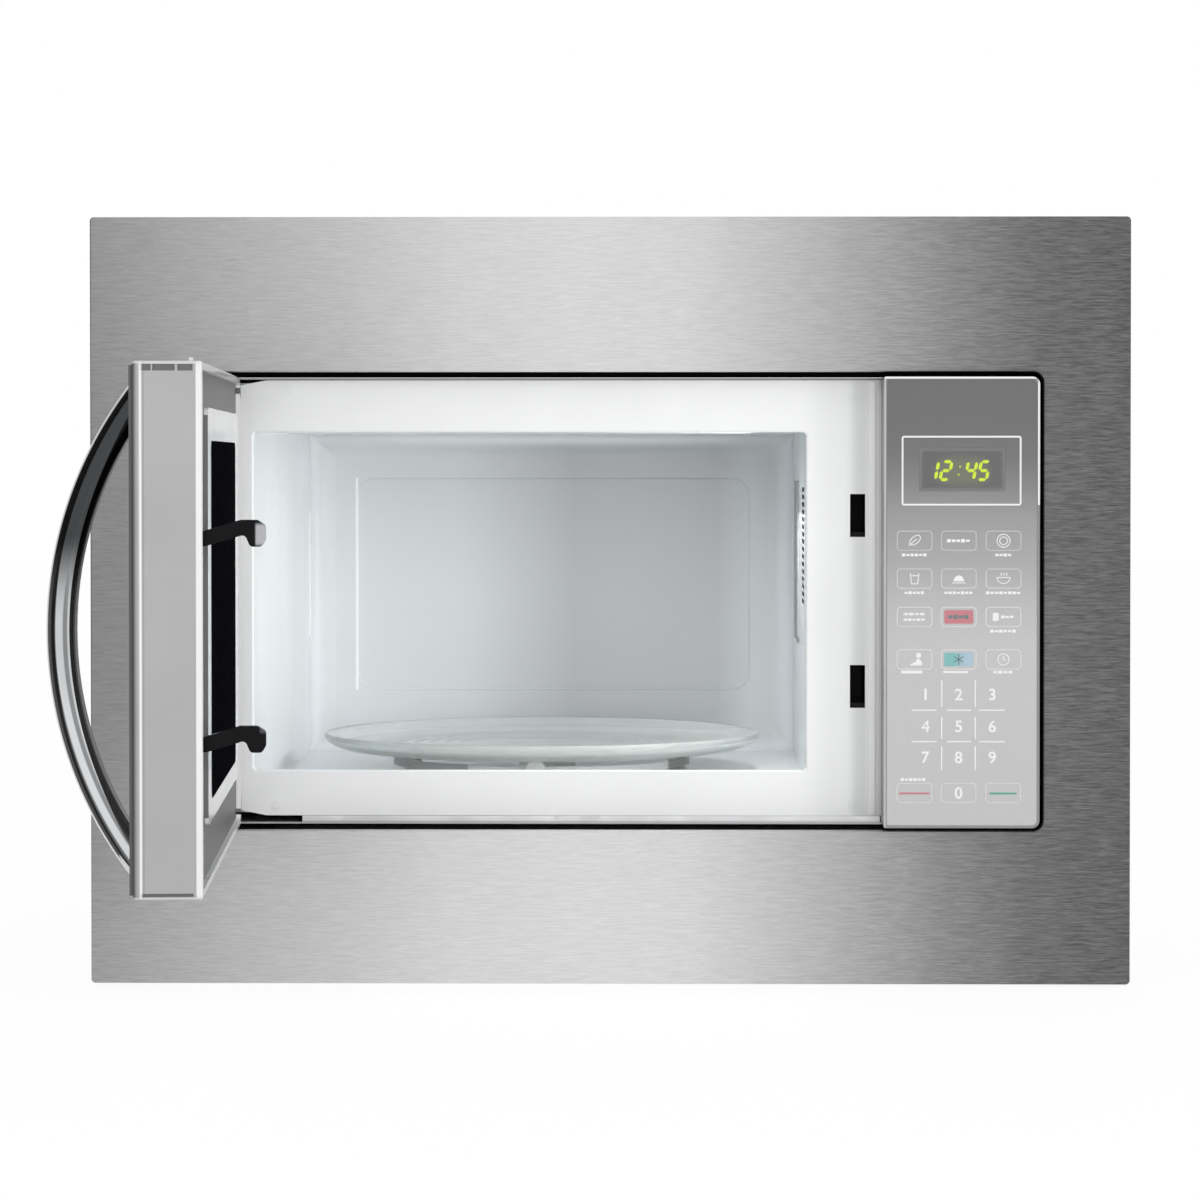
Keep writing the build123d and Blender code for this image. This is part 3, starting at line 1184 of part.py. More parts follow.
# ---------------------------------------------------------------- export
pieces = {
    "trim_frame": trim_frame.part,
    "trim_liner": trim_liner.part,
    "trim_bracket_left": trim_bracket(-1),
    "trim_bracket_right": trim_bracket(1),
    "trim_screws": trim_screws.part,
    "cabinet_wrap": cabinet_wrap.part,
    "base_plate": base_plate.part,
    "rear_panel": rear_panel.part,
    "cabinet_screws": cabinet_screws.part,
    "feet": feet.part,
    "cord_gland": cord_gland.part,
    "cavity_shell": cavity_shell.part,
    "front_plate": front_plate.part,
    "plate_rivets": plate_rivets.part,
    "waveguide_cover": waveguide_cover.part,
    "waveguide": waveguide.part,
    "magnetron_yoke": magnetron_yoke.part,
    "magnetron_fins": magnetron_fins.part,
    "magnetron_tube": magnetron_tube.part,
    "magnetron_filter_box": magnetron_filter_box.part,
    "transformer_core": transformer_core.part,
    "transformer_primary": transformer_coil(core_window_z[0] + 0.4, coil_split - 0.4),
    "transformer_secondary": transformer_coil(coil_split + 0.4, core_window_z[1] - 0.4),
    "hv_capacitor": hv_capacitor.part,
    "capacitor_clamp": capacitor_clamp.part,
    "hv_diode": hv_diode.part,
    "fan_shroud": fan_shroud.part,
    "fan_motor": fan_motor.part,
    "fan_blade": fan_blade.part,
    "noise_filter": noise_filter.part,
    "lamp_holder": lamp_holder.part,
    "lamp_bulb": lamp_bulb.part,
    "thermal_cutout": thermal_cutout.part,
    "turntable_motor": turntable_motor.part,
    "drive_coupler": drive_coupler.part,
    "roller_ring": roller_ring.part,
    "glass_turntable": glass_turntable.part,
    "control_housing": control_housing.part,
    "keypad_overlay": keypad_overlay.part,
    "display_window": display_window.part,
    "display_module": display_module.part,
    "control_board": control_board.part,
    "latch_board": latch_board.part,
    "interlock_lever": interlock_lever.part,
    "microswitches": microswitches.part,
    "hinge_upper": hinge(1),
    "hinge_lower": hinge(-1),
    "door_frame": door_frame.part,
    "door_glass": door_glass.part,
    "door_pan": door_pan.part,
    "choke_cover": choke_cover.part,
    "window_film": window_film.part,
    "door_screen": door_screen.part,
    "door_handle": door_handle.part,
    "handle_screws": handle_screws.part,
    "latch_key": latch_key.part,
    "latch_spring": latch_spring.part,
}
for wheel_index in range(roller_count):
    pieces[f"roller_wheel_{wheel_index + 1}"] = roller_wheel(wheel_index)

os.makedirs("parts", exist_ok=True)
for name, piece in pieces.items():
    piece.label = name
    export_step(piece, f"parts/{name}.step")
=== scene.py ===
import bmesh
import bpy
import numpy as np
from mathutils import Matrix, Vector


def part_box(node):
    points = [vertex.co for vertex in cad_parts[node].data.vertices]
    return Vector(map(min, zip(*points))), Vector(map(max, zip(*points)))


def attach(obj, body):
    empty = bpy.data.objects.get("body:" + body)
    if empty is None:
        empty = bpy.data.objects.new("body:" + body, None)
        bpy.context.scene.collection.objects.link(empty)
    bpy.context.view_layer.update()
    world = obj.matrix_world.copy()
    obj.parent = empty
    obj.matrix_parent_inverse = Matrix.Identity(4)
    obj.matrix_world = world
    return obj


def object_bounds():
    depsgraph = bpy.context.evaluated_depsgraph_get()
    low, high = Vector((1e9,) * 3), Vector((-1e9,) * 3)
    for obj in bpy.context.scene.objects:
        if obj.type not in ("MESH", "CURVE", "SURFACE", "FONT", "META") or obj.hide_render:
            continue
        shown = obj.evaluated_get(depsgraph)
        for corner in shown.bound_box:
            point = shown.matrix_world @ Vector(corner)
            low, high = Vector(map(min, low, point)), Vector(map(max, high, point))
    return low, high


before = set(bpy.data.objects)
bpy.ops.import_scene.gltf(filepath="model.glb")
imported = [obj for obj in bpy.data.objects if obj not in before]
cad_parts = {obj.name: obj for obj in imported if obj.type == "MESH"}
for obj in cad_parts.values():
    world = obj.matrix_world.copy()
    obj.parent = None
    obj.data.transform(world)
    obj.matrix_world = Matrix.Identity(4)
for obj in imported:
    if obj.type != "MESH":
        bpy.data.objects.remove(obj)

bl_info = {
    "name": "Built-in microwave oven",
    "version": (1, 0, 0),
    "blender": (4, 5, 0),
    "location": "3D View > Sidebar > Oven",
    "description": "Finishes, printed keys, clock and stage of a built-in microwave oven",
    "category": "Object",
}

MM = 0.001
CAD_BOX = [list(corner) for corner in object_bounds()]
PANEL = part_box("keypad_overlay")
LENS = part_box("display_window")
# The plane of the cavity's right wall, on which the cover of the waveguide lies.
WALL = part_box("waveguide_cover")[0][0] + 0.001
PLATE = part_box("glass_turntable")
DOOR_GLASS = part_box("door_glass")
LOWEST = CAD_BOX[0][2]

# The door's hinge line and its two directions at rest, for patterns that follow the door.
HINGE_LINE = (-0.236, -0.0194, 0.0)
DOOR_ALONG = (0.069756, -0.997564, 0.0)
DOOR_INWARD = (0.997564, 0.069756, 0.0)
# The handle's bow: its middle, inward from the hinge line and up, and its outer radius.
BOW_CENTRE = (0.1434, -0.0011)
BOW_RADIUS = 0.195
# The door glass and its window: from edge to edge along the door, and up.
GLASS_ALONG = (-0.0046, 0.3874)
GLASS_UP = DOOR_GLASS[0][2] + 0.0012, DOOR_GLASS[1][2] - 0.0012
WINDOW_ALONG, WINDOW_UP = (0.0506, 0.3006), (-0.0883, 0.0903)
SCREEN_DOTS = 455  # per metre
# The rings pressed into the glass plate: their pitch, and from where to where they run.
RING_PITCH, RING_SPAN = 0.0092, (0.045, 0.104)
# The clock's digits behind the lens, across and up.
CLOCK_ACROSS, CLOCK_UP = (0.1853, 0.2166), (0.0692, 0.0796)


# ---------------------------------------------------------------- settings
def paint(name, text, value):
    """A colour that a user may change."""
    return bpy.props.FloatVectorProperty(
        name=name, description=text, subtype="COLOR", size=4, min=0, max=1, default=(*value, 1)
    )


def length(name, text, value):
    """A length that a user may change, in metres."""
    return bpy.props.FloatProperty(
        name=name, description=text, subtype="DISTANCE", unit="LENGTH", min=0, default=value * MM
    )


def watts(name, text, value):
    """A lamp's power that a user may change, in watts."""
    return bpy.props.FloatProperty(
        name=name, description=text, subtype="POWER", unit="POWER", min=0, default=value
    )


class OvenColours(bpy.types.PropertyGroup):
    steel: paint("Steel", "Brushed steel of the trim frame", (0.83, 0.83, 0.83))
    enamel: paint("Enamel", "Enamel of the front plate and the door pan", (0.93, 0.935, 0.94))
    cavity: paint("Cavity", "Enamel inside the cavity", (0.87, 0.895, 0.91))
    silver: paint("Silver plastic", "Door frame and panel housing", (0.385, 0.385, 0.385))
    # The mirror film's two tones are a painted reflection, grey at the top and silver at the
    # bottom.
    film_reflection_top: paint("Film, top", "Mirror film at the panel's top", (0.128, 0.128, 0.127))
    film_reflection_bottom: paint("Film, bottom", "Mirror film at the panel's bottom", (0.515, 0.515, 0.515))
    cover: paint("Choke cover", "Plastic band inside the door", (0.12, 0.12, 0.118))
    chrome: paint("Chrome", "Door handle", (0.62, 0.63, 0.64))
    glow: paint("Clock", "Light of the clock's digits", (0.60, 0.78, 0.035))
    print: paint("Print", "Printed lines and digits on the panel", (0.82, 0.83, 0.82))


class OvenPrint(bpy.types.PropertyGroup):
    key_width: length("Key width", "Width of a key's outline", 19.7)
    key_height: length("Key height", "Height of a key's outline", 10.9)
    line_width: length("Line width", "Width of the printed lines", 0.62)
    number_height: length("Number height", "Height of the keypad's numbers", 6.6)
    clock_height: length("Clock height", "Height of the clock's digits", 10.2)
    print_height: length("Print thickness", "How far the print stands off the film", 0.05)
    vent_hole: length("Vent hole", "Diameter of a hole in the lamp's patch", 2.7)
    vent_pitch: length("Vent pitch", "Distance between the holes in the lamp's patch", 4.76)


class OvenStage(bpy.types.PropertyGroup):
    focal_length: bpy.props.FloatProperty(
        name="Focal length", description="Focal length of the camera on a 36 mm sensor",
        unit="CAMERA", min=10, default=121.1,
    )
    key_power: watts("Key light", "Power of the large lamp at the left", 13)
    fill_power: watts("Fill light", "Power of the lamp at the right, which lights the cavity", 45)
    cavity_power: watts("Cavity light", "Power of the oven's own light behind its holes", 0.85)
    room_light: bpy.props.FloatProperty(
        name="Room light", description="Strength of the even light from all round",
        min=0, default=0.60,
    )


# ---------------------------------------------------------------- shader maths
def both_ways(operation):
    """Two methods of Wire: the operation on it and another value, and on the two turned round."""
    def forward(self, other):
        return self.maths(operation, self, other)

    def reflected(self, other):
        return self.maths(operation, other, self)
    return forward, reflected


class Wire:
    """An output socket in a node tree. Arithmetic on it adds Math nodes to that tree."""

    __add__, __radd__ = both_ways("ADD")
    __sub__, __rsub__ = both_ways("SUBTRACT")
    __mul__, __rmul__ = both_ways("MULTIPLY")
    __truediv__, __rtruediv__ = both_ways("DIVIDE")
    __pow__, __rpow__ = both_ways("POWER")
    __mod__, __rmod__ = both_ways("FLOORED_MODULO")

    def __init__(self, owner, socket):
        self.owner, self.socket = owner, socket

    def maths(self, operation, *values):
        """A Math node of this operation on the values, in order."""
        inputs = dict(enumerate(values))
        return self.owner.node("ShaderNodeMath", {"operation": operation}, inputs)

    def __abs__(self):
        return self.maths("ABSOLUTE", self)

    def sine(self):
        """The sine of this value."""
        return self.maths("SINE", self)

    def most(self, other):
        """The larger of this value and another."""
        return self.maths("MAXIMUM", self, other)

    def upto(self, low, high):
        """0 below low, 1 above high, and a soft step between them."""
        inputs = {0: self, 1: low, 2: high, 3: 0.0, 4: 1.0}
        settings = {"interpolation_type": "SMOOTHSTEP"}
        return self.owner.node("ShaderNodeMapRange", settings, inputs)

    def within(self, low, high, soft):
        """1 between low and high and 0 outside, with a soft step of that width."""
        return self.upto(low - soft, low + soft) * (1 - self.upto(high - soft, high + soft))


class Nodes:
    """A node tree and short ways to add nodes to it."""

    def __init__(self, tree):
        self.tree = tree

    def node(self, kind, settings=None, inputs=None, output=0):
        """Adds a node of a kind: first its settings, then its inputs' values or links."""
        made = self.tree.nodes.new(kind)
        for key, value in (settings or {}).items():
            if key == "stops":
                elements = made.color_ramp.elements
                while len(elements) < len(value):
                    elements.new(1.0)
                for element, (at, tone) in zip(elements, value):
                    element.position, element.color = at, tone
            else:
                setattr(made, key, value)
        for key, value in (inputs or {}).items():
            self.join(value, made.inputs[key])
        return Wire(self, made.outputs[output])

    def join(self, value, socket):
        """Links a wire to a socket, or sets the socket's own value."""
        if isinstance(value, Wire):
            self.tree.links.new(value.socket, socket)
        else:
            socket.default_value = value

    def looked_at(self):
        """1 for rays from the camera, from mirrors and through glass, and 0 for the rest."""
        camera, glossy, glass = (
            self.node("ShaderNodeLightPath", output=f"Is {kind} Ray")
            for kind in ("Camera", "Glossy", "Transmission")
        )
        return camera.most(glossy).most(glass)


class Finish(Nodes):
    """One material: its nodes, and short ways to patterns and surfaces."""

    def __init__(self, name, constants=None):
        self.material = bpy.data.materials.new(name)
        self.material.use_nodes = True
        super().__init__(self.material.node_tree)
        self.shader = self.tree.nodes["Principled BSDF"]
        self.set(constants or {})

    def set(self, inputs):
        """Sets or links inputs of the surface shader."""
        for key, value in inputs.items():
            self.join(value, self.shader.inputs[key])

    def place(self):
        """The point on the piece, in metres."""
        return self.node("ShaderNodeTexCoord", output="Object")

    def axes(self, vector=None):
        """The three parts of a vector, or of the point on the piece."""
        first = self.node("ShaderNodeSeparateXYZ", {}, {0: vector or self.place()})
        return [Wire(self, socket) for socket in first.socket.node.outputs]

    def vector_maths(self, operation, first, second, output=0):
        """A Vector Math node of this operation on two vectors."""
        settings = {"operation": operation}
        return self.node("ShaderNodeVectorMath", settings, {0: first, 1: second}, output)

    def from_hinge(self, way):
        """How far the point lies from the door's hinge line, in one of the door's directions."""
        arm = self.vector_maths("SUBTRACT", self.place(), HINGE_LINE)
        return self.vector_maths("DOT_PRODUCT", arm, way, "Value")

    def stretched(self, scale, vector=None):
        """The point on the piece times a scale, in waves per metre: one number, or one per axis."""
        scale = tuple(np.broadcast_to(scale, 3).tolist())
        return self.vector_maths("MULTIPLY", vector or self.place(), scale)

    def noise(self, scale, detail=2.0, rough=0.5, vector=None):
        """Soft random cloud between 0 and 1."""
        vector = self.stretched(scale, vector)
        inputs = {"Vector": vector, "Scale": 1.0, "Detail": detail, "Roughness": rough}
        return self.node("ShaderNodeTexNoise", {}, inputs)

    def cells(self, scale, output="Distance"):
        """Random cells: the distance to the nearest centre, or a colour of each cell."""
        inputs = {"Vector": self.stretched(scale), "Scale": 1.0}
        return self.node("ShaderNodeTexVoronoi", {}, inputs, output)

    def uneven(self, factor, tone, low, high):
        """A tone times low, at factor 0, to the same tone times high, at factor 1."""
        return self.tint(factor, shade(tone, low), shade(tone, high))

    def tint(self, factor, first, second):
        """A colour between the first, at factor 0, and the second, at factor 1."""
        inputs = {0: factor, 6: first, 7: second}
        return self.node("ShaderNodeMix", {"data_type": "RGBA"}, inputs, 2)

    def ramp(self, value, stops):
        """A colour that a value picks from stops: each has a place, a tone and a factor on it."""
        stops = [(place, shade(tone, factor)) for place, tone, factor in stops]
        return self.node("ShaderNodeValToRGB", {"stops": stops}, {0: value})

    def marked(self, skin, light_and_tone_marks):
        """A colour that turns to others inside boxes: spans, soft edge, share, colour."""
        x, y, z = self.axes()
        for (across_x, along_y, up_z), soft, share, other in light_and_tone_marks:
            inside = x.within(*across_x, soft) * y.within(*along_y, soft) * z.within(*up_z, soft)
            skin = self.tint(inside * share, skin, other)
        return skin

    def surface(self, colour, rough, height, depth, strength):
        """Sets the colour and roughness, and a relief of a height that is depth metres deep."""
        inputs = {"Height": height, "Distance": depth, "Strength": strength}
        bump = self.node("ShaderNodeBump", {}, inputs)
        self.set({"Base Color": colour, "Roughness": rough, "Normal": bump})
        return self.material


def shade(tone, factor):
    """The same colour made lighter or darker by a factor."""
    return (*(min(1.0, part * factor) for part in tone[:3]), 1.0)


# ---------------------------------------------------------------- finishes
# Painted sheen of the trim frame, a painted reflection lightest near its middle, from its left edge
# to its right: place, and share of the full tone.
TRIM_PAINTED_SHEEN = (
    (0.0, 0.46), (0.18, 0.69), (0.35, 0.905), (0.467, 0.94), (0.57, 0.88), (0.654, 0.70),
    (0.74, 0.50), (0.83, 0.285), (0.914, 0.148), (1.0, 0.108),
)


def brushed_sheet(name, tone, waves, dull=0.34, sheen=((0.0, 1.0), (1.0, 1.0)), span=(-0.3, 0.3)):
    """Brushed metal: short level streaks that wander a little, under a sheen across its width,
    which is a painted reflection where its stops differ.
    """
    finish = Finish(name, {"Metallic": 0.92})
    x, y, z = finish.axes()
    wander = finish.noise((45, 45, 70))
    level = z + (wander - 0.5) * 0.0022
    bent = finish.node("ShaderNodeCombineXYZ", {}, {0: x, 1: y, 2: level})
    streaks = finish.noise((waves, waves, waves * 17), 4.0, 0.62, bent)
    hair = finish.noise((waves * 3, waves * 3, waves * 60), 2.0, 0.5, bent)
    cloud = finish.noise((4.0, 4.0, 5.5))
    grain = streaks * 0.62 + hair * 0.38
    # Painted reflection: the sheet's tone changes across its width as the sheen's stops give.
    along = (x - span[0]) / (span[1] - span[0]) + (cloud - 0.5) * 0.03
    sheet = finish.ramp(along, [(place, tone, share) for place, share in sheen])
    light = finish.tint(0.13, sheet, (1, 1, 1, 1))
    dark = finish.tint(0.13, sheet, (0, 0, 0, 1))
    colour = finish.tint(grain.upto(0.32, 0.70), dark, light)
    return finish.surface(colour, dull + grain * 0.16, grain, 0.00012, 0.35)


def powder_coat(name, tone, dull=0.5, metal=0.0, gloss=0.5):
    """Powder-coated or plain dull sheet with a fine orange-peel skin."""
    finish = Finish(name, {"Metallic": metal, "Specular IOR Level": gloss})
    peel = finish.noise(420)
    dust = finish.noise(38, 4.0)
    colour = finish.uneven(dust.upto(0.3, 0.75), tone, 0.97, 1.04)
    return finish.surface(colour, dull + dust * 0.12, peel, 0.00006, 0.4)


def enamel(name, tone, dull=0.16, light_and_tone_marks=(), back=None):
    """Glossy enamel with a faint ripple; its marks are boxes of painted shade and painted
    highlights, and back is painted shade that changes across a wall.
    """
    finish = Finish(name, {"Coat Weight": 0.35, "Coat Roughness": 0.06})
    ripple = finish.noise(110)
    peel = finish.noise(520, 1.0)
    drift = finish.noise(9, 3.0)
    skin = finish.uneven(drift.upto(0.3, 0.7), tone, 0.975, 1.02)
    # Painted shade: the back wall's tone falls and rises across it, as its stops give.
    if back:
        start, (left, right), shares = back
        x, y, _ = finish.axes()
        run = (x - left) / (right - left)
        wall = finish.ramp(run, [(place, tone, share) for place, share in shares])
        skin = finish.tint(y.upto(*start), skin, wall)
    colour = finish.marked(skin, light_and_tone_marks)
    return finish.surface(colour, dull + drift * 0.06, ripple * 0.7 + peel * 0.3, 0.00005, 0.35)


def moulded(name, tone, dull=0.38, grain=1500, metal=0.0, flake=0.0, gloss=0.5, light_and_tone_marks=()):
    """Moulded plastic with a fine spark-eroded grain, and metal flake where it is painted."""
    finish = Finish(name, {"Metallic": metal, "Specular IOR Level": gloss})
    skin = finish.noise(grain)
    flow = finish.noise((14, 14, 26), 3.0)
    sparkle = finish.cells(2600)
    step = flow.upto(0.25, 0.75) * (1 - flake) + sparkle * flake
    colour = finish.marked(finish.uneven(step, tone, 0.95, 1.06), light_and_tone_marks)
    return finish.surface(colour, dull + skin * 0.10, skin, 0.00003, 0.35)


def door_edge(name, tone):
    """Silver-painted door frame with painted light: a dark reflection on its rise, a highlight on
    the bead beside the glass, highlights at its ends, and shade in its groove and slots.
    """
    finish = Finish(name, {"Metallic": 0.35, "Specular IOR Level": 0.4})
    across_door, along = finish.from_hinge(DOOR_INWARD), finish.from_hinge(DOOR_ALONG)
    height = finish.axes()[2]
    skin = finish.noise(1700)
    flow = finish.noise((14, 14, 26), 3.0)
    # Across the edge, inward from the hinge line: a painted dark reflection on the rise, a painted
    # highlight on the bead and painted shade in the groove by it.
    rise_reflection = across_door.upto(-0.0092, -0.0058)
    bead_highlight = across_door.within(-0.0056, -0.0044, 0.0003)
    groove_shade = across_door.within(-0.0040, -0.0032, 0.0003)
    # Up the edge: painted highlights at its ends, and painted shade in the slots near them.
    ends = 1 - height.within(-0.1278, 0.1266, 0.0002)
    sunk = height.within(0.1232, 0.1265, 0.0001) + height.within(-0.1275, -0.1258, 0.0001)
    slot = sunk * along.within(0.3890, 0.3899, 0.0001)
    base = finish.uneven(flow.upto(0.25, 0.75), tone, 0.97, 1.03)
    edge = finish.tint(rise_reflection, (0.10, 0.10, 0.105, 1), base)
    lined = finish.tint((groove_shade * 0.25).most(slot * 0.8), edge, (0.08, 0.08, 0.08, 1))
    colour = finish.tint((bead_highlight * 0.8).most(ends * 0.55), lined, (0.86, 0.86, 0.87, 1))
    return finish.surface(colour, 0.34 + skin * 0.10, skin, 0.00003, 0.35)


def spangled(name, tone, contrast=0.14, light_and_tone_marks=()):
    """Zinc-coated sheet: flat crystals of slightly different greys, with fine rolling lines."""
    finish = Finish(name, {"Metallic": 0.85})
    crystal = finish.axes(finish.cells(105, "Color"))[0]
    edge = finish.cells(105)
    rolled = finish.noise((30, 30, 900))
    step = crystal * 0.6 + rolled * 0.4
    plain = finish.uneven(step, tone, 1 - contrast, 1 + contrast)
    colour = finish.marked(plain, light_and_tone_marks)
    return finish.surface(colour, 0.30 + crystal * 0.16, edge * 0.6 + rolled * 0.4, 0.00006, 0.3)


def latch_plastic(name, tone):
    """Polished black plastic of the latch hooks, with a painted grey highlight on the end of each
    head, strong on the upper one.
    """
    finish = Finish(name, {"Specular IOR Level": 0.10})
    x, _, z = finish.axes()
    skin = finish.noise(1300)
    # Painted highlights: grey patches on the ends of the upper head and, faintly, the lower.
    upper = x.within(-0.1605, -0.1540, 0.0006) * z.within(0.0400, 0.0500, 0.0012)
    lower = x.within(-0.1585, -0.1540, 0.0008) * z.within(-0.0500, -0.0440, 0.0012)
    colour = finish.tint((upper * 0.9).most(lower * 0.2), tone, (0.42, 0.42, 0.44, 1))
    return finish.surface(colour, 0.14 + skin * 0.10, skin, 0.00003, 0.35)


def plated(name, tone, dull=0.18):
    """Plated steel with faint turning marks."""
    finish = Finish(name, {"Metallic": 1.0})
    marks = finish.noise(900, 3.0)
    stain = finish.noise(160)
    colour = finish.uneven(stain.upto(0.3, 0.7), tone, 0.86, 1.08)
    return finish.surface(colour, dull + marks * 0.14, marks, 0.00003, 0.3)


def chrome(name, tone):
    """Polished chrome with painted dark reflections: over its upper half but for its rim, and along
    two bands of the bow.
    """
    finish = Finish(name, {"Metallic": 1.0})
    haze = finish.noise((30, 30, 18), 4.0)
    wipes = finish.noise((260, 260, 1900))
    height = finish.axes()[2]
    # Painted dark reflection over the upper half of the handle.
    smoke_and_painted_reflection = (height + (haze - 0.5) * 0.02).upto(0.0, 0.045) * 0.96
    bright = finish.uneven(haze.upto(0.3, 0.7), tone, 0.93, 1.05)
    depth = finish.from_hinge(DOOR_INWARD)
    bow = ((depth - BOW_CENTRE[0]) ** 2.0 + (height - BOW_CENTRE[1]) ** 2.0) ** 0.5
    # The bow's rim stays bright; two bands along the bow get painted dark reflections.
    smoke_and_painted_reflection = smoke_and_painted_reflection * (1 - bow.upto(BOW_RADIUS - 0.0015, BOW_RADIUS - 0.0009) * 0.8)
    outer = bow.within(BOW_RADIUS - 0.0048, BOW_RADIUS - 0.0026, 0.0004) * 0.84
    inner = bow.within(BOW_RADIUS - 0.0104, BOW_RADIUS - 0.0083, 0.0004) * 0.62
    colour = finish.tint(smoke_and_painted_reflection.most(outer).most(inner), bright, (0.035, 0.037, 0.04, 1))
    return finish.surface(colour, 0.045 + haze * 0.05 + wipes * 0.02, haze, 0.00006, 0.12)


def stripes(name, low, high, axis, pitch, metal, dull, depth):
    """Layers or turns side by side along one axis, each slightly rounded and of its own tone."""
    finish = Finish(name, {"Metallic": metal})
    run = finish.axes()[axis]
    turn = (run * (2 * np.pi / pitch)).sine() * 0.5 + 0.5
    wave = [40.0, 40.0, 40.0]
    wave[axis] = 1.0 / pitch
    tone = finish.noise(wave)
    colour = finish.tint(turn * 0.55 + tone * 0.45, low, high)
    return finish.surface(colour, dull + tone * 0.12, turn, depth, 0.6)


def mica_sheet(name, tone):
    """Pressed mica: cloudy flakes, matt and a little uneven in tone."""
    finish = Finish(name, {"Specular IOR Level": 0.08})
    flakes = finish.axes(finish.cells(260, "Color"))[0]
    cloud = finish.noise(45, 5.0)
    colour = finish.uneven(flakes * 0.45 + cloud * 0.55, tone, 0.86, 1.12)
    return finish.surface(colour, 0.72 + flakes * 0.18, flakes, 0.00005, 0.4)


def printed_board(name):
    """Circuit board: green lacquer, lighter tracks on a fine grid, and solder points."""
    finish = Finish(name, {"Coat Weight": 0.4, "Coat Roughness": 0.2})
    x, _, z = finish.axes()
    track = ((x * 420 + (z * 190).sine() * 1.4) % 1.0).within(0.32, 0.56, 0.05)
    cross = ((z * 360) % 1.0).within(0.40, 0.58, 0.05)
    wave = finish.noise(120, 1.0).upto(0.46, 0.54)
    tracks = track * wave + cross * (1 - wave)
    solder = 1 - finish.cells(230).upto(0.16, 0.22)
    green = finish.tint(tracks, (0.012, 0.085, 0.03, 1), (0.04, 0.19, 0.07, 1))
    finish.set({"Metallic": solder * 0.8})
    colour = finish.tint(solder, green, (0.62, 0.60, 0.55, 1))
    return finish.surface(colour, 0.42 - solder * 0.15, tracks * 0.4 + solder * 0.6, 0.0001, 0.4)


def clear_glass(name, tone, centre=None, milky=0.0, bending=1.47):
    """Clear or slightly milky glass; round a centre it has pressed rings."""
    finish = Finish(name, {"Transmission Weight": 1.0 - milky, "IOR": bending})
    ripple = finish.noise(55, 1.0)
    height = ripple * 0.3
    if centre:
        x, y, _ = finish.axes()
        reach = ((x - centre[0]) ** 2.0 + (y - centre[1]) ** 2.0) ** 0.5
        rings = (reach * (2 * np.pi / RING_PITCH)).sine() * reach.within(*RING_SPAN, 0.004)
        height = height + rings * 0.35 + 0.35
    colour = finish.uneven(ripple, tone, 0.98, 1.02)
    return finish.surface(colour, 0.02 + ripple * 0.03, height, 0.00035, 0.5)


def mirror_film(name, top, bottom):
    """Mirror film behind a clear sheet, with a painted reflection: grey at the top, running to
    silver at the bottom.
    """
    finish = Finish(name, {"Coat Weight": 0.5, "Coat Roughness": 0.04, "Metallic": 0.2})
    low, high = PANEL[0][2], PANEL[1][2]
    z = finish.axes()[2]
    cloud = finish.noise((16, 16, 9))
    run = (high - z) / (high - low) + (cloud - 0.5) * 0.035
    speck = finish.noise(1300, 1.0)
    # Painted reflection: the tone runs from the top's grey down to the bottom's silver.
    colour = finish.ramp(run + (speck - 0.5) * 0.012, (
        (0.0, top, 0.93), (0.10, top, 0.98), (0.17, top, 1.12), (0.24, top, 1.58),
        (0.31, top, 2.25), (0.41, top, 2.75), (0.505, bottom, 0.86), (0.60, bottom, 0.96),
        (1.0, bottom, 0.97),
    ))
    return finish.surface(colour, 0.15 + cloud * 0.06, cloud, 0.0001, 0.08)


def door_face(name, film):
    """Door glass: mirror film round a dark window with a fine dot screen, and a dark edge; the film
    has a painted reflection, lighter towards the bottom.
    """
    finish = Finish(name, {"Coat Weight": 0.6, "Coat Roughness": 0.02})
    along = finish.from_hinge(DOOR_ALONG)
    height = finish.axes()[2]
    opening = along.within(*WINDOW_ALONG, 0.0012) * height.within(*WINDOW_UP, 0.0012)
    rim = 1 - along.within(*GLASS_ALONG, 0.0004) * height.within(*GLASS_UP, 0.0004)
    across, up = ((run * SCREEN_DOTS) % 1.0 - 0.5 for run in (along, height))
    dots = ((across ** 2.0 + up ** 2.0) ** 0.5).upto(0.24, 0.36)
    screen = finish.tint(dots, (0.004, 0.004, 0.005, 1), (0.022, 0.022, 0.024, 1))
    cloud = finish.noise((9, 9, 7))
    # Painted reflection on the film: lighter towards the bottom.
    run = (0.13 - height) / 0.26 + (cloud - 0.5) * 0.05
    mirror = finish.ramp(run, [(0.0, film, 1.0), (0.5, film, 1.35), (1.0, film, 1.9)])
    glass = finish.tint(opening, mirror, screen)
    finish.set({"Metallic": (1 - opening) * (1 - rim) * 0.35})
    colour = finish.tint(rim, glass, (0.05, 0.052, 0.055, 1))
    return finish.surface(colour, 0.10 + cloud * 0.05, cloud, 0.0001, 0.06)


def black_window(name):
    """Black film behind clear glass, with a faint streak from wiping."""
    finish = Finish(name, {"Specular IOR Level": 0.0})
    wipe = finish.noise((7, 30, 60), 3.0)
    colour = finish.tint(wipe, (0.003, 0.003, 0.004, 1), (0.006, 0.006, 0.008, 1))
    return finish.surface(colour, 0.06 + wipe * 0.05, wipe, 0.00005, 0.06)


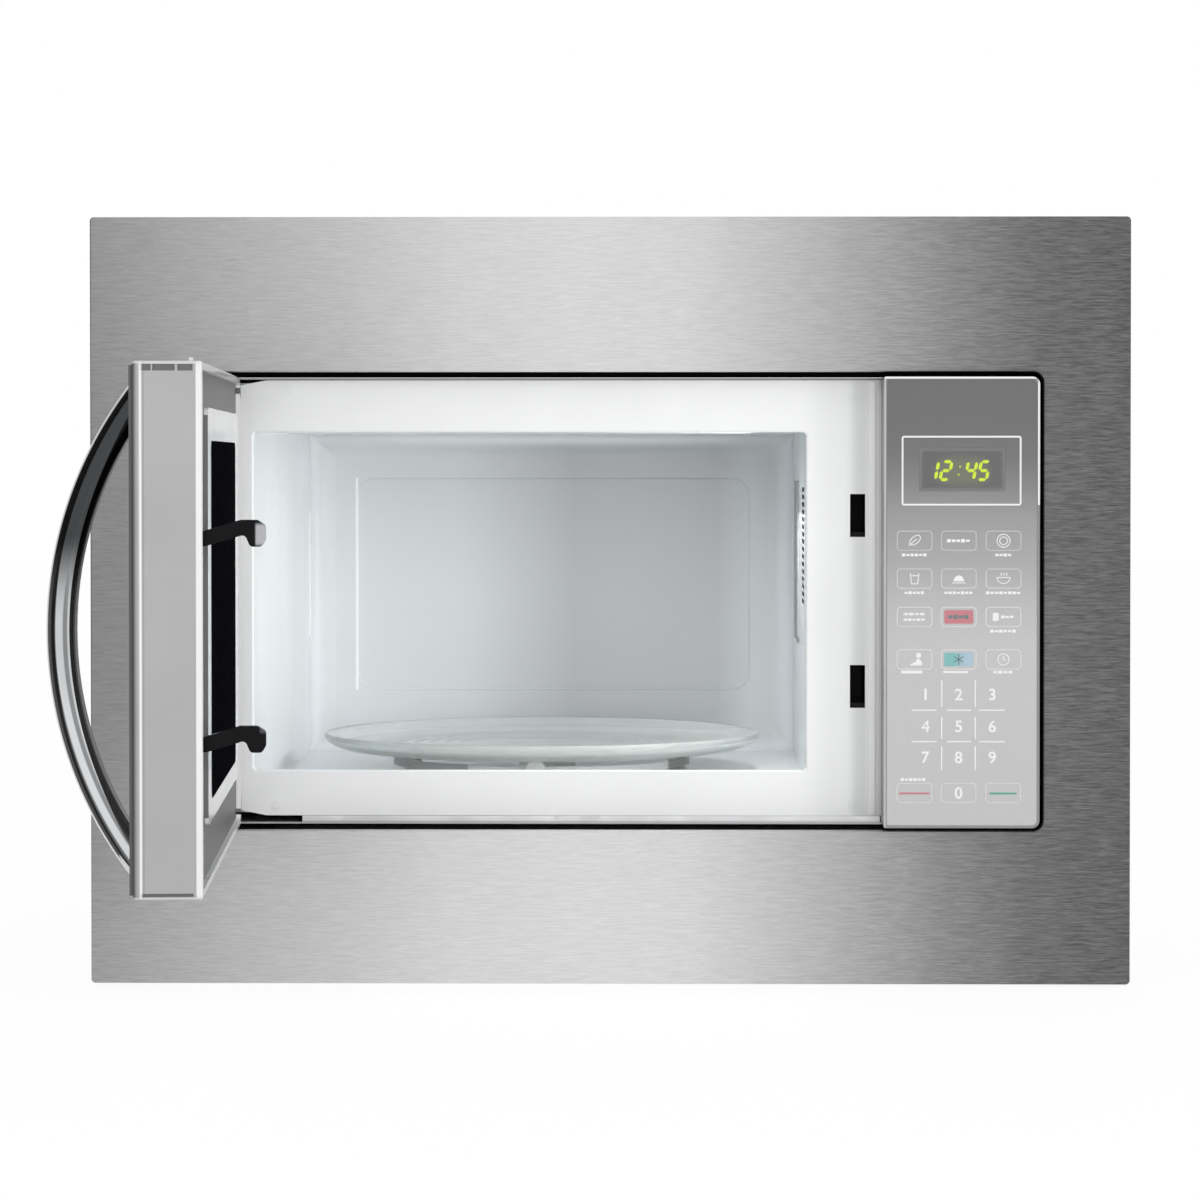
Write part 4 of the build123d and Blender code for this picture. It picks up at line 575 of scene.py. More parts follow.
def lens(name, glow):
    """Smoked lens in front of the display: a haze of the clock's light round its digits."""
    finish = Finish(name, {"Coat Weight": 0.6, "Coat Roughness": 0.05, "Emission Strength": 1.0})
    x, _, z = finish.axes()
    across, up = (
        abs(run - sum(span) / 2) / (span[1] - span[0])
        for run, span in ((x, CLOCK_ACROSS), (z, CLOCK_UP))
    )
    haze = 1 - ((across * 1.9) ** 4.0 + (up * 1.15) ** 2.0).upto(0.0, 1.5)
    wide, tall = (
        run.within(LENS[0][axis] + 0.0014, LENS[1][axis] - 0.0014, 0.0013)
        for run, axis in ((x, 0), (z, 2))
    )
    smoke_and_painted_reflection = finish.noise(90)
    dark = finish.tint(smoke_and_painted_reflection, (0.086, 0.086, 0.088, 1), (0.098, 0.098, 0.100, 1))
    finish.set({"Emission Color": finish.tint(haze * 0.07, (0, 0, 0, 1), glow)})
    colour = finish.tint(wide * tall, (0.158, 0.158, 0.157, 1), dark)
    return finish.surface(colour, 0.20 + smoke_and_painted_reflection * 0.06, smoke_and_painted_reflection, 0.00003, 0.1)


def glowing(name, tone):
    """Lit digit: a light that spreads a little unevenly in its segments."""
    finish = Finish(name, {"Emission Strength": 1.0, "Base Color": (0.03, 0.04, 0.01, 1)})
    spread = finish.noise(500)
    finish.set({
        "Emission Color": finish.uneven(spread.upto(0.2, 0.8), tone, 0.82, 1.1),
        "Roughness": 0.35 + spread * 0.1,
    })
    return finish.material


def ink(name, tone, second=None, axis=0):
    """Screen-printed ink of an uneven tone; second is a tone, a start and a length of a blend."""
    finish = Finish(name)
    grain = finish.noise(1900)
    step, other = grain.upto(0.25, 0.75) * 0.3, shade(tone, 1.04)
    if second:
        other, start, reach = second
        step = step * 0.3 + ((finish.axes()[axis] - start) / reach).upto(0.2, 0.9)
    colour = finish.tint(step, shade(tone, 0.98), other)
    return finish.surface(colour, 0.32 + grain * 0.12, grain, 0.00001, 0.3)


# ---------------------------------------------------------------- shapes
def grid_quads(rows, columns, close_rows=False, close_columns=True):
    """Quads of a grid of points kept row after row; either way may join up with its start."""
    index = np.arange(rows * columns).reshape(rows, columns)
    if close_rows:
        index = np.vstack((index, index[:1]))
    if close_columns:
        index = np.hstack((index, index[:, :1]))
    corners = index[:-1, :-1], index[1:, :-1], index[1:, 1:], index[:-1, 1:]
    return np.stack(corners, -1).reshape(-1, 4).tolist()


def normals(path, closed):
    """Normals of a flat path: the mean of its two runs, made longer at a bend to keep the width."""
    ahead = np.roll(path, -1, 0) - path
    behind = path - np.roll(path, 1, 0)
    if not closed:
        ahead[-1], behind[0] = behind[-1], ahead[0]
    ahead /= np.linalg.norm(ahead, axis=1, keepdims=True)
    behind /= np.linalg.norm(behind, axis=1, keepdims=True)
    mean = ahead + behind
    mean = np.stack((-mean[:, 1], mean[:, 0]), 1)
    mean /= np.linalg.norm(mean, axis=1, keepdims=True)
    run = np.stack((-ahead[:, 1], ahead[:, 0]), 1)
    return mean / np.maximum((mean * run).sum(1), 0.5)[:, None]


def line(path, width, height, closed=False):
    """A flat line: a low box section carried along a path, moved by the path's normal."""
    path = np.asarray(path, float)
    section = np.array([
        (-0.5, 0.05), (-0.5, 0.8), (-0.3, 1.0), (0.3, 1.0), (0.5, 0.8), (0.5, 0.05),
    ])
    sideways = normals(path, closed)[:, None, :] * (section[None, :, :1] * width)
    flat = path[:, None, :] + sideways
    up = np.broadcast_to(section[:, 1] * height, flat.shape[:2])
    points = np.concatenate((flat, up[..., None]), -1).reshape(-1, 3)
    count = len(section)
    faces = grid_quads(len(path), count, closed, True)
    if not closed:
        faces += [list(range(count)), list(range(len(points) - count, len(points)))]
    return points, faces


def slab(outline, height):
    """A flat patch: an outline at two heights, with a wall between them and both faces closed."""
    outline = np.asarray(outline, float)
    count = len(outline)
    rings = [np.column_stack((outline, np.full(count, h))) for h in (height * 0.05, height)]
    faces = grid_quads(2, count) + [list(range(count)), list(range(count, 2 * count))]
    return np.concatenate(rings), faces


def arc(centre, radius, start, end, steps):
    """Points of an arc: the centre plus the radius times the cosine and sine of each angle."""
    angles = np.radians(np.linspace(start, end, steps))
    return np.asarray(centre) + np.stack((np.cos(angles), np.sin(angles)), 1) * radius


def rounded(centre, size, radius, steps=7):
    """A rectangle's outline with a quarter arc at each corner, anticlockwise."""
    half = np.asarray(size) / 2 - radius
    corners = [((1, 1), 0), ((-1, 1), 90), ((-1, -1), 180), ((1, -1), 270)]
    return np.concatenate([
        arc(np.asarray(centre) + half * side, radius, start, start + 90, steps)
        for side, start in corners
    ])


def joined(shapes):
    """Several lists of points and faces as one."""
    offsets = np.cumsum([0] + [len(points) for points, _ in shapes])
    faces = [
        [index + int(offset) for index in face]
        for (_, own), offset in zip(shapes, offsets) for face in own
    ]
    return np.concatenate([points for points, _ in shapes]), faces


def put(name, data):
    """An object of this data, in the scene."""
    made = bpy.data.objects.new(name, data)
    bpy.context.scene.collection.objects.link(made)
    return made


def aimed(name, data, place, way):
    """A lamp or a camera at a place, upright and looking along a way."""
    made = put(name, data)
    made.location, made.rotation_euler = place, Vector(way).to_track_quat("-Z", "Y").to_euler()
    return made


def sheet_of(name, points, faces, material):
    """An object of points and faces with one material."""
    mesh = bpy.data.meshes.new(name)
    mesh.from_pydata(points.tolist(), [], faces)
    mesh.materials.append(material)
    return put(name, mesh)


def build(name, shapes, material, place, body="oven"):
    """Makes one piece from shapes in flat coordinates: places it, closes it and lets it ride."""
    points, faces = joined(shapes)
    piece = sheet_of(name, place(points), faces, material)
    mesh, work = piece.data, bmesh.new()
    work.from_mesh(mesh)
    bmesh.ops.remove_doubles(work, verts=work.verts, dist=1e-7)
    bmesh.ops.recalc_face_normals(work, faces=work.faces)
    work.to_mesh(mesh)
    work.free()
    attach(piece, body)


def on_panel(points):
    """Flat millimetres on the panel's face: across, up, and out of the face to the user."""
    return np.stack((points[:, 0], PANEL[0][1] / MM - points[:, 2], points[:, 1]), 1) * MM


def on_wall(points):
    """Flat millimetres on the cavity's right wall: back from the front, up, and into the cavity."""
    wall = WALL / MM
    return np.stack((wall - points[:, 2], points[:, 0], points[:, 1]), 1) * MM


def dress(material, *nodes):
    """Puts the material on every slot of these nodes."""
    for name in nodes:
        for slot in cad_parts[name].material_slots:
            slot.material = material


# The height of a digit in the built-in typeface at size 1, and how much its strokes are fattened.
DIGIT_SHARE, DIGIT_WEIGHT = 0.71, 0.022


def written(text, centre, height, thickness):
    """A number set in the built-in typeface as flat points and faces, its middle at the centre."""
    curve = bpy.data.curves.new("number", "FONT")
    curve.body = text
    curve.size = height / DIGIT_SHARE
    curve.extrude = thickness / 2
    curve.offset = height * DIGIT_WEIGHT
    curve.resolution_u = 4
    holder = bpy.data.objects.new("number", curve)
    mesh = bpy.data.meshes.new_from_object(holder)
    points = np.empty(len(mesh.vertices) * 3)
    mesh.vertices.foreach_get("co", points)
    points = points.reshape(-1, 3)
    faces = [list(face.vertices) for face in mesh.polygons]
    middle = (points.min(0) + points.max(0)) / 2
    points = points - middle + (centre[0], centre[1], thickness * 0.55)
    bpy.data.objects.remove(holder)
    bpy.data.curves.remove(curve)
    bpy.data.meshes.remove(mesh)
    return points, faces


# ---------------------------------------------------------------- keys and symbols, in millimetres
# Middles of the keys, across and up; then those of the numbers, and what is in the last row.
KEY_COLUMNS = (173.7, 198.8, 224.2)
KEY_ROWS = (34.7, 13.2, -8.6, -32.8)
NUMBER_COLUMNS = (180.0, 198.8, 217.9)
NUMBER_ROWS = (-52.7, -70.9, -88.6)
LAST_ROW = -108.8
LAST_ROW_BARS = (164.9, 182.4), (216.4, 231.8)
# The border round the display: its middle and its size.
BORDER = (200.3, 74.5), (67.0, 38.6)


def dashes(centre, total, count, width, height):
    """A row of short dashes in place of a label: their heights differ as sines of their number."""
    pitch = total / count
    starts = centre[0] - total / 2 + pitch * np.arange(count)
    talls = width * (1.0 + 0.22 * np.sin(2.4 * np.arange(count) + total))
    return [
        line([(start, centre[1]), (start + pitch * 0.80, centre[1])], tall, height)
        for start, tall in zip(starts, talls)
    ]


def symbols(width, height):
    """The keys' symbols: strokes and patches for leaf, rings, glass, dish, bowl, scale, clock."""
    left, mid, right = KEY_COLUMNS
    row = KEY_ROWS
    shapes = []

    def stroke(centre, points, closed=False):
        shapes.append(line(np.asarray(points) + centre, width * 0.8, height, closed))

    # A leaf on its stem, a row of dashes, and two rings.
    turn = np.radians(40)
    rotate = np.array([(np.cos(turn), np.sin(turn)), (-np.sin(turn), np.cos(turn))])
    stroke((left, row[0]), arc((0.4, 0.1), (3.6, 2.0), 0, 345, 24) @ rotate, True)
    stroke((left, row[0]), np.array([(-4.6, 0.0), (1.6, 0.0)]) @ rotate)
    shapes.extend(dashes((mid, row[0]), 13.5, 5, width * 2.6, height))
    stroke((right, row[0]), arc((0, 0), 3.7, 0, 345, 24), True)
    stroke((right, row[0]), arc((0, 0), 2.2, 0, 345, 20), True)
    # A glass, a covered dish and a bowl with steam.
    stroke((left, row[1]), [(-2.4, 3.0), (-1.8, -3.0), (1.8, -3.0), (2.4, 3.0)])
    stroke((left, row[1]), [(-2.1, 1.6), (2.1, 1.6)])
    shapes.append(slab(arc((mid, row[1] - 1.6), (3.0, 3.4), 0, 180, 16), height))
    stroke((mid, row[1]), [(-3.8, -2.5), (3.8, -2.5)])
    stroke((right, row[1]), arc((0, 0.6), (3.7, 3.4), 180, 360, 16), True)
    for shift in (-1.6, 0.0, 1.6):
        stroke((right, row[1]), [(shift, 1.6), (shift + 0.4, 2.5), (shift, 3.4)])
    # Two rows of dashes, and a small patch beside bars.
    shapes.extend(dashes((left, row[2] + 1.6), 12.5, 4, width * 1.9, height))
    shapes.extend(dashes((left, row[2] - 1.6), 12.5, 5, width * 1.9, height))
    shapes.append(slab(rounded((right - 4.4, row[2]), (3.4, 4.6), 0.7, 4), height))
    shapes.extend(dashes((right + 2.4, row[2]), 7.6, 3, width * 2.2, height))
    # A scale with its weight, and a clock.
    wedge = np.array([
        (-3.6, -3.4), (2.9, -3.4), (2.9, -1.8), (1.3, 0.3), (0.0, 0.3), (-1.0, -1.6), (-3.6, -2.6),
    ])
    shapes.append(slab(wedge + (left + 1.4, row[3]), height))
    shapes.append(slab(arc((left + 2.3, row[3] + 2.3), 1.5, 0, 337.5, 16), height))
    stroke((right, row[3]), arc((0, 0), 3.2, 0, 345, 24), True)
    stroke((right, row[3]), [(0, 2.0), (0, 0), (1.5, -0.7)])
    return shapes


def labels(width, height):
    """The dashes that stand in for the words under the keys."""
    thick = width * 2.3
    rows = [
        (0, 0, 14.5, 6), (0, 2, 9.5, 4), (1, 0, 11.5, 5), (1, 1, 16.5, 7), (1, 2, 20.0, 8),
        (2, 2, 15.0, 6), (3, 0, 15.0, 1), (3, 1, 17.5, 1), (3, 2, 11.5, 4),
    ]
    shapes = []
    for row, column, total, count in rows:
        drop = 7.2 if row == 3 else 8.1
        centre = (KEY_COLUMNS[column], KEY_ROWS[row] - drop)
        shapes.extend(dashes(centre, total, count, thick, height))
    shapes.extend(dashes((KEY_COLUMNS[0] - 0.6, LAST_ROW + 7.6), 14.5, 6, thick, height))
    return shapes


def number_grid(width, height):
    """Broken lines between the numbers: three runs to each line."""
    runs_up = (-59.9, -44.7), (-78.2, -65.5), (-95.7, -82.2)
    runs_across = (172.0, 186.4), (192.3, 206.0), (210.5, 225.0)
    lines = [((x, low), (x, high)) for x in (189.2, 208.3) for low, high in runs_up]
    lines += [((low, z), (high, z)) for z in (-61.7, -79.6) for low, high in runs_across]
    return [line(ends, width, height) for ends in lines]


# Which of the seven segments each clock digit lights, from the top round to the middle.
SEGMENTS = {"1": (1, 2), "2": (0, 1, 6, 4, 3), "4": (5, 6, 1, 2), "5": (0, 5, 6, 2, 3)}
# How far the digits lean, and the left edge of each and of the colon.
CLOCK_LEAN = 0.19
CLOCK_DIGITS = ("1", 180.6), ("2", 188.1), ("4", 202.3), ("5", 209.6)
COLON_LEFT = 198.1


def clock_digit(digit, left, low, width, tall, height):
    """A leaning seven-segment digit: each lit segment is a bar with pointed ends."""
    thick, mid = tall * 0.18, tall / 2
    ring = [(0, tall), (width, tall), (width, mid), (width, 0), (0, 0), (0, mid)]
    ends = np.array([*zip(ring, ring[1:] + ring[:1]), (ring[5], ring[2])], float)
    shapes = []
    for start, end in ends[list(SEGMENTS[digit])]:
        along = (end - start) / np.linalg.norm(end - start)
        side = np.array((-along[1], along[0])) * thick / 2
        inner, outer = start + along * thick * 0.12, end - along * thick * 0.12
        step = along * thick / 2
        outline = np.array([
            inner, inner + step + side, outer - step + side, outer, outer - step - side,
            inner + step - side,
        ])
        outline[:, 0] += outline[:, 1] * CLOCK_LEAN + left
        outline[:, 1] += low
        shapes.append(slab(outline, height))
    return shapes


# ---------------------------------------------------------------- marks, painted light and shade, and places
ANY = (-1.0, 1.0)
# Tones of the marks: white for painted highlights and for paint, the greys and the darkest for
# painted shade, brown for painted shadow.
WHITE, SHADE_GREY = (0.97, 0.975, 0.98, 1), (0.30, 0.31, 0.32, 1)
SHADOW_BROWN, DEEP_SHADE = (0.10, 0.09, 0.075, 1), (0.07, 0.07, 0.068, 1)

# Each mark: its spans across, back and up, its soft edge, its share and its colour. Most are
# painted shade or painted highlights; the base lip's white is paint.
# Painted shade on the front plate, greyer towards the panel and in the groove beside it, and a
# painted highlight on its ridge.
PLATE_FOLD_SHADING = (
    (((0.118, 0.149), ANY, ANY), 0.010, 0.14, SHADE_GREY),
    (((0.140, 0.1486), ANY, ANY), 0.003, 0.22, SHADE_GREY),
    (((0.1489, 0.1526), ANY, ANY), 0.0003, 0.8, WHITE),
    (((0.1549, 0.1600), ANY, ANY), 0.0005, 0.25, SHADE_GREY),
)
# Painted highlights: a line down the left edge of the back wall's pressed panel, and a fainter one
# in its back left corner.
CAVITY_EDGE_HIGHLIGHTS = (
    (((-0.1778, -0.1762), (0.3545, 0.3600), (-0.0724, 0.0685)), 0.0003, 0.9, WHITE),
    (((-0.2034, -0.2020), (0.3400, 0.3570), (-0.086, 0.047)), 0.0004, 0.4, WHITE),
)
# Painted shade on the door pan: a dark line down its raised middle, and a grey band near its free
# edge.
PAN_SHADE_LINES = (
    (((-0.1925, -0.1885), (-0.3492, -0.3468), ANY), 0.0001, 0.88, DEEP_SHADE),
    ((ANY, (-0.4120, -0.4025), ANY), 0.0002, 0.25, SHADE_GREY),
)
BASE_LIP = (((ANY, (-0.05, 0.015), (-0.1283, 0.0)), 0.0002, 0.9, WHITE),)

# Painted shade on the cavity's back wall, darker across its middle and lighter at both sides: where
# it starts, its sides, and the share of the tone at places across.
CAVITY_BACK_SHADE = (
    (0.349, 0.3555), (-0.203, 0.137),
    ((0.0, 0.87), (0.28, 0.685), (0.39, 0.57), (0.5, 0.475), (0.6, 0.503), (0.687, 0.527),
     (0.78, 0.57), (0.842, 0.76), (0.883, 0.80), (0.905, 0.94), (0.934, 1.0), (1.0, 1.12)),
)
# The lamp's patch of holes, back and up: first place in millimetres, count, share of the pitch.
VENT_BACK, VENT_UP = (55.0, 10, 1.02), (-3.4, 16, 0.93)
# The camera's place, the way it looks and its shift; the middle of the curtains' arc.
CAMERA_PLACE, CAMERA_WAY = (0.0557, -2.325, 0.0817), (-0.01313, 1.0, -0.01734)
CAMERA_SHIFT = (-0.045, -0.06)
HANDLE_SIDE = (-0.25, -0.38)


# ---------------------------------------------------------------- operators
class OVEN_OT_trim(bpy.types.Operator):
    """Finishes the trim frame, its liner, brackets and screws"""

    bl_idname = "oven.trim"
    bl_label = "Trim frame"

    def execute(self, context):
        tones = context.scene.oven_colours
        low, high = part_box("trim_frame")
        steel = brushed_sheet("steel_brushed", tones.steel, 62, 0.34, TRIM_PAINTED_SHEEN, (low[0], high[0]))
        dress(steel, "trim_frame")
        dress(powder_coat("liner_black", (0.004, 0.004, 0.005), 0.55, 0.0, 0.15), "trim_liner")
        zinc = spangled("bracket_zinc", (0.52, 0.54, 0.55))
        dress(zinc, "trim_bracket_left", "trim_bracket_right")
        dress(plated("screw_zinc", (0.60, 0.61, 0.63)), "trim_screws")
        return {"FINISHED"}


class OVEN_OT_cabinet(bpy.types.Operator):
    """Finishes the cabinet, base, rear panel, feet, screws and cord gland"""

    bl_idname = "oven.cabinet"
    bl_label = "Cabinet"

    def execute(self, context):
        dress(powder_coat("cabinet_grey", (0.52, 0.53, 0.54), 0.42), "cabinet_wrap")
        dress(spangled("sheet_zinc", (0.52, 0.54, 0.55)), "rear_panel")
        dress(spangled("base_zinc", (0.74, 0.75, 0.76), 0.05, BASE_LIP), "base_plate")
        dress(plated("cabinet_screw", (0.60, 0.61, 0.63)), "cabinet_screws")
        dress(moulded("foot_rubber", (0.022, 0.022, 0.022), 0.78, 700), "feet")
        dress(moulded("gland_black", (0.018, 0.018, 0.02), 0.42), "cord_gland")
        return {"FINISHED"}


class OVEN_OT_cavity(bpy.types.Operator):
    """Finishes the front plate and the cavity, and draws the holes of the lamp's patch as dark
    discs of painted shade
    """

    bl_idname = "oven.cavity"
    bl_label = "Cavity and front plate"

    def execute(self, context):
        tones, sizes = context.scene.oven_colours, context.scene.oven_print
        dress(enamel("plate_enamel", tones.enamel, light_and_tone_marks=PLATE_FOLD_SHADING), "front_plate")
        dress(enamel("cavity_enamel", tones.cavity, 0.22, CAVITY_EDGE_HIGHLIGHTS, CAVITY_BACK_SHADE), "cavity_shell")
        dull = shade(tones.enamel, 0.97)
        dress(enamel("rivet_enamel", dull, 0.24, PLATE_FOLD_SHADING[:2]), "plate_rivets")
        dress(mica_sheet("cover_mica", (0.42, 0.43, 0.43)), "waveguide_cover")
        radius = sizes.vent_hole / MM / 2
        back, up = (
            start + np.arange(count) * sizes.vent_pitch / MM * share
            for start, count, share in (VENT_BACK, VENT_UP)
        )
        # Each hole is a dark disc of painted shade on the wall.
        holes = [slab(arc((y, z), radius, 0, 324, 10), 0.08) for y in back for z in up]
        shadow = powder_coat("hole_shadow", (0.03, 0.031, 0.033), 0.7, gloss=0.1)
        build("lamp_vent_holes", holes, shadow, on_wall)
        return {"FINISHED"}


class OVEN_OT_works(bpy.types.Operator):
    """Finishes what works inside: magnetron, transformer, fan, lamp, motor and boards"""

    bl_idname = "oven.works"
    bl_label = "Inside works"

    def execute(self, context):
        zinc = spangled("works_zinc", (0.50, 0.52, 0.54))
        dress(zinc, "magnetron_yoke", "magnetron_filter_box", "waveguide")
        dress(zinc, "capacitor_clamp", "turntable_motor")
        dress(brushed_sheet("fin_aluminium", (0.66, 0.67, 0.68), 120), "magnetron_fins")
        dress(brushed_sheet("can_aluminium", (0.62, 0.63, 0.64), 90), "hv_capacitor")
        dress(plated("tube_metal", (0.56, 0.50, 0.45), 0.25), "magnetron_tube")
        iron = (0.055, 0.047, 0.04, 1), (0.13, 0.11, 0.095, 1)
        for name, node in (("core_layers", "transformer_core"), ("motor_layers", "fan_motor")):
            dress(stripes(name, *iron, 1, 0.0008, 0.5, 0.45, 0.0001), node)
        wire = (0.30, 0.10, 0.035, 1), (0.62, 0.27, 0.10, 1)
        for winding, pitch, depth in (("primary", 0.0013, 0.0003), ("secondary", 0.0006, 0.0002)):
            turns = stripes(f"{winding}_turns", *wire, 2, pitch, 0.8, 0.3, depth)
            dress(turns, f"transformer_{winding}")
        black = moulded("works_black", (0.006, 0.006, 0.007), 0.45, gloss=0.2)
        dress(black, "hv_diode", "thermal_cutout", "microswitches", "interlock_lever")
        dress(black, "latch_board")
        dress(moulded("shroud_grey", (0.30, 0.31, 0.32), 0.45), "fan_shroud")
        dress(moulded("works_white", (0.80, 0.80, 0.78), 0.35), "fan_blade", "lamp_holder")
        dress(printed_board("board_green"), "noise_filter", "control_board")
        dress(clear_glass("bulb_glass", (0.95, 0.95, 0.93)), "lamp_bulb")
        return {"FINISHED"}


class OVEN_OT_turntable(bpy.types.Operator):
    """Finishes the glass plate, its roller ring, rollers and coupler"""

    bl_idname = "oven.turntable"
    bl_label = "Turntable"

    def execute(self, context):
        low, high = PLATE
        centre = ((low[0] + high[0]) / 2, (low[1] + high[1]) / 2)
        dress(clear_glass("plate_glass", (0.90, 0.93, 0.91), centre, 0.28, 1.16), "glass_turntable")
        low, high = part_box("roller_ring")
        middle, reach = (low[0] + high[0]) / 2, (high[0] - low[0]) / 2
        front = (low[1], (low[1] + high[1]) / 2)
        # Painted shadow: brown marks on the front of the roller ring near its left and right ends.
        shaded = (
            (((middle - reach, middle - reach * 0.45), front, ANY), 0.001, 0.55, SHADOW_BROWN),
            (((middle + reach * 0.86, middle + reach), front, ANY), 0.001, 0.70, SHADOW_BROWN),
        )
        ring = moulded("ring_white", (0.80, 0.81, 0.80), 0.36, 1100, light_and_tone_marks=shaded)
        dress(ring, "roller_ring", "roller_wheel_1", "roller_wheel_2", "roller_wheel_3")
        dress(moulded("coupler_white", (0.72, 0.73, 0.72), 0.38, 1100), "drive_coupler")
        return {"FINISHED"}


class OVEN_OT_door(bpy.types.Operator):
    """Finishes the door: glass, frame, pan, choke cover, window, screen and hinges"""

    bl_idname = "oven.door"
    bl_label = "Door"

    def execute(self, context):
        tones = context.scene.oven_colours
        dress(door_edge("frame_silver", tones.silver), "door_frame")
        dress(door_face("door_mirror_glass", shade(tones.film_reflection_top, 0.42)), "door_glass")
        dress(enamel("pan_enamel", shade(tones.enamel, 0.94), light_and_tone_marks=PAN_SHADE_LINES), "door_pan")
        dress(moulded("cover_grey", tones.cover, 0.34, 900, gloss=0.14), "choke_cover")
        dress(black_window("window_black"), "window_film")
        dress(powder_coat("screen_black", (0.02, 0.02, 0.022), 0.5, 0.4), "door_screen")
        dress(plated("hinge_zinc", (0.66, 0.67, 0.68), 0.3), "hinge_upper", "hinge_lower")
        return {"FINISHED"}


class OVEN_OT_handle(bpy.types.Operator):
    """Finishes the bow handle, its screws, and the latch key with its spring"""

    bl_idname = "oven.handle"
    bl_label = "Handle and latch"

    def execute(self, context):
        tones = context.scene.oven_colours
        dress(chrome("handle_chrome", tones.chrome), "door_handle")
        dress(plated("handle_screw", (0.60, 0.61, 0.63)), "handle_screws")
        dress(latch_plastic("latch_black", (0.004, 0.004, 0.005, 1)), "latch_key")
        dress(plated("spring_bright", (0.50, 0.50, 0.50), 0.22), "latch_spring")
        return {"FINISHED"}


class OVEN_OT_panel(bpy.types.Operator):
    """Finishes the control panel: housing, mirror film, lens and display"""

    bl_idname = "oven.panel"
    bl_label = "Control panel"

    def execute(self, context):
        tones = context.scene.oven_colours
        low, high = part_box("control_housing")
        face, rim = (-0.031, -0.026), 0.0012
        # Painted highlights: pale lines along the housing's left edge, its top and the upper part
        # of its right edge.
        lit = (
            (((-1.0, low[0] + 0.0009), face, ANY), 0.0002, 0.5, WHITE),
            ((ANY, face, (high[2] - rim, 1.0)), 0.0002, 0.8, WHITE),
            (((high[0] - rim, 1.0), face, (0.055, 1.0)), 0.0002, 0.8, WHITE),
        )
        silver = shade(tones.silver, 0.66)
        housing = moulded("housing_silver", silver, 0.28, 1700, 0.35, 0.4, light_and_tone_marks=lit)
        dress(housing, "control_housing")
        dress(mirror_film("panel_film", tones.film_reflection_top, tones.film_reflection_bottom), "keypad_overlay")
        dress(lens("display_lens", tones.glow), "display_window")
        dress(moulded("display_block", (0.05, 0.055, 0.04), 0.4), "display_module")
        return {"FINISHED"}


class OVEN_OT_keys(bpy.types.Operator):
    """Prints the panel: outlines, symbols, numbers, dashes and coloured keys"""

    bl_idname = "oven.keys"
    bl_label = "Printed keys"

    def execute(self, context):
        tones, sizes = context.scene.oven_colours, context.scene.oven_print
        size = np.array((sizes.key_width, sizes.key_height)) / MM
        width, height = sizes.line_width / MM, sizes.print_height / MM
        pale = ink("ink_white", tones.print)
        # The key outlines are darker towards the top, following the film's painted reflection.
        thin = ink("ink_thin", (0.64, 0.645, 0.64), ((0.49, 0.495, 0.49, 1), -0.02, 0.06), 2)
        places = [(x, z, width) for x in KEY_COLUMNS for z in KEY_ROWS]
        places += [(x, LAST_ROW, width * 0.8) for x in KEY_COLUMNS]
        keys = [line(rounded((x, z), size, 2.0), wide, height, True) for x, z, wide in places]
        build("key_outlines", keys, thin, on_panel)
        border = [line(rounded(*BORDER, 0.9), width * 1.6, height, True)]
        build("display_border", border, pale, on_panel)
        marks = symbols(width, height) + labels(width, height) + number_grid(width * 1.1, height)
        build("key_symbols", marks, pale, on_panel)
        tall = sizes.number_height / MM
        numbers = [
            written(str(row * 3 + column + 1), (x, z), tall, height)
            for row, z in enumerate(NUMBER_ROWS) for column, x in enumerate(NUMBER_COLUMNS)
        ]
        numbers.append(written("0", (KEY_COLUMNS[1], LAST_ROW), tall, height))
        build("key_numbers", numbers, pale, on_panel)
        mid, upper, lower = KEY_COLUMNS[1], KEY_ROWS[2], KEY_ROWS[3]
        bar = LAST_ROW - 0.3
        patches = [slab(rounded((mid, z), size - 3.2, 0.9, 5), height) for z in (upper, lower)]
        bars = [line([(low, bar), (high, bar)], 1.1, height) for low, high in LAST_ROW_BARS]
        star = [
            line(arc((mid, lower), 3.2, turn, turn + 180, 2), 0.6, height * 2)
            for turn in (30, 90, 150)
        ]
        star += dashes((mid, upper), 12.0, 4, 2.0, height * 2)
        teal = ink("ink_teal", (0.20, 0.47, 0.46), ((0.38, 0.51, 0.60, 1), (mid - 6) * MM, 0.012))
        build("key_red", [patches[0], bars[0]], ink("ink_red", (0.53, 0.20, 0.225)), on_panel)
        build("key_teal", patches[1:], teal, on_panel)
        build("key_green", bars[1:], ink("ink_green", (0.10, 0.36, 0.25)), on_panel)
        dark = ink("ink_dark", (0.13, 0.20, 0.21))
        build("key_overprint", star, dark, on_panel)
        return {"FINISHED"}


class OVEN_OT_clock(bpy.types.Operator):
    """Lights the clock's digits behind the lens"""

    bl_idname = "oven.clock"
    bl_label = "Clock"

    def execute(self, context):
        tones, sizes = context.scene.oven_colours, context.scene.oven_print
        tall = sizes.clock_height / MM
        low = (LENS[0][2] + LENS[1][2]) / 2 / MM - tall / 2 - 0.6
        wide = tall * 0.47
        shapes = []
        for digit, left in CLOCK_DIGITS:
            shapes += clock_digit(digit, left, low, wide, tall, 0.06)
        for share in (0.28, 0.72):
            dot = (COLON_LEFT + CLOCK_LEAN * tall * share, low + tall * share)
            shapes.append(slab(arc(dot, 0.55, 0, 324, 10), 0.06))
        build("clock_digits", shapes, glowing("clock_light", tones.glow), on_panel)
        return {"FINISHED"}


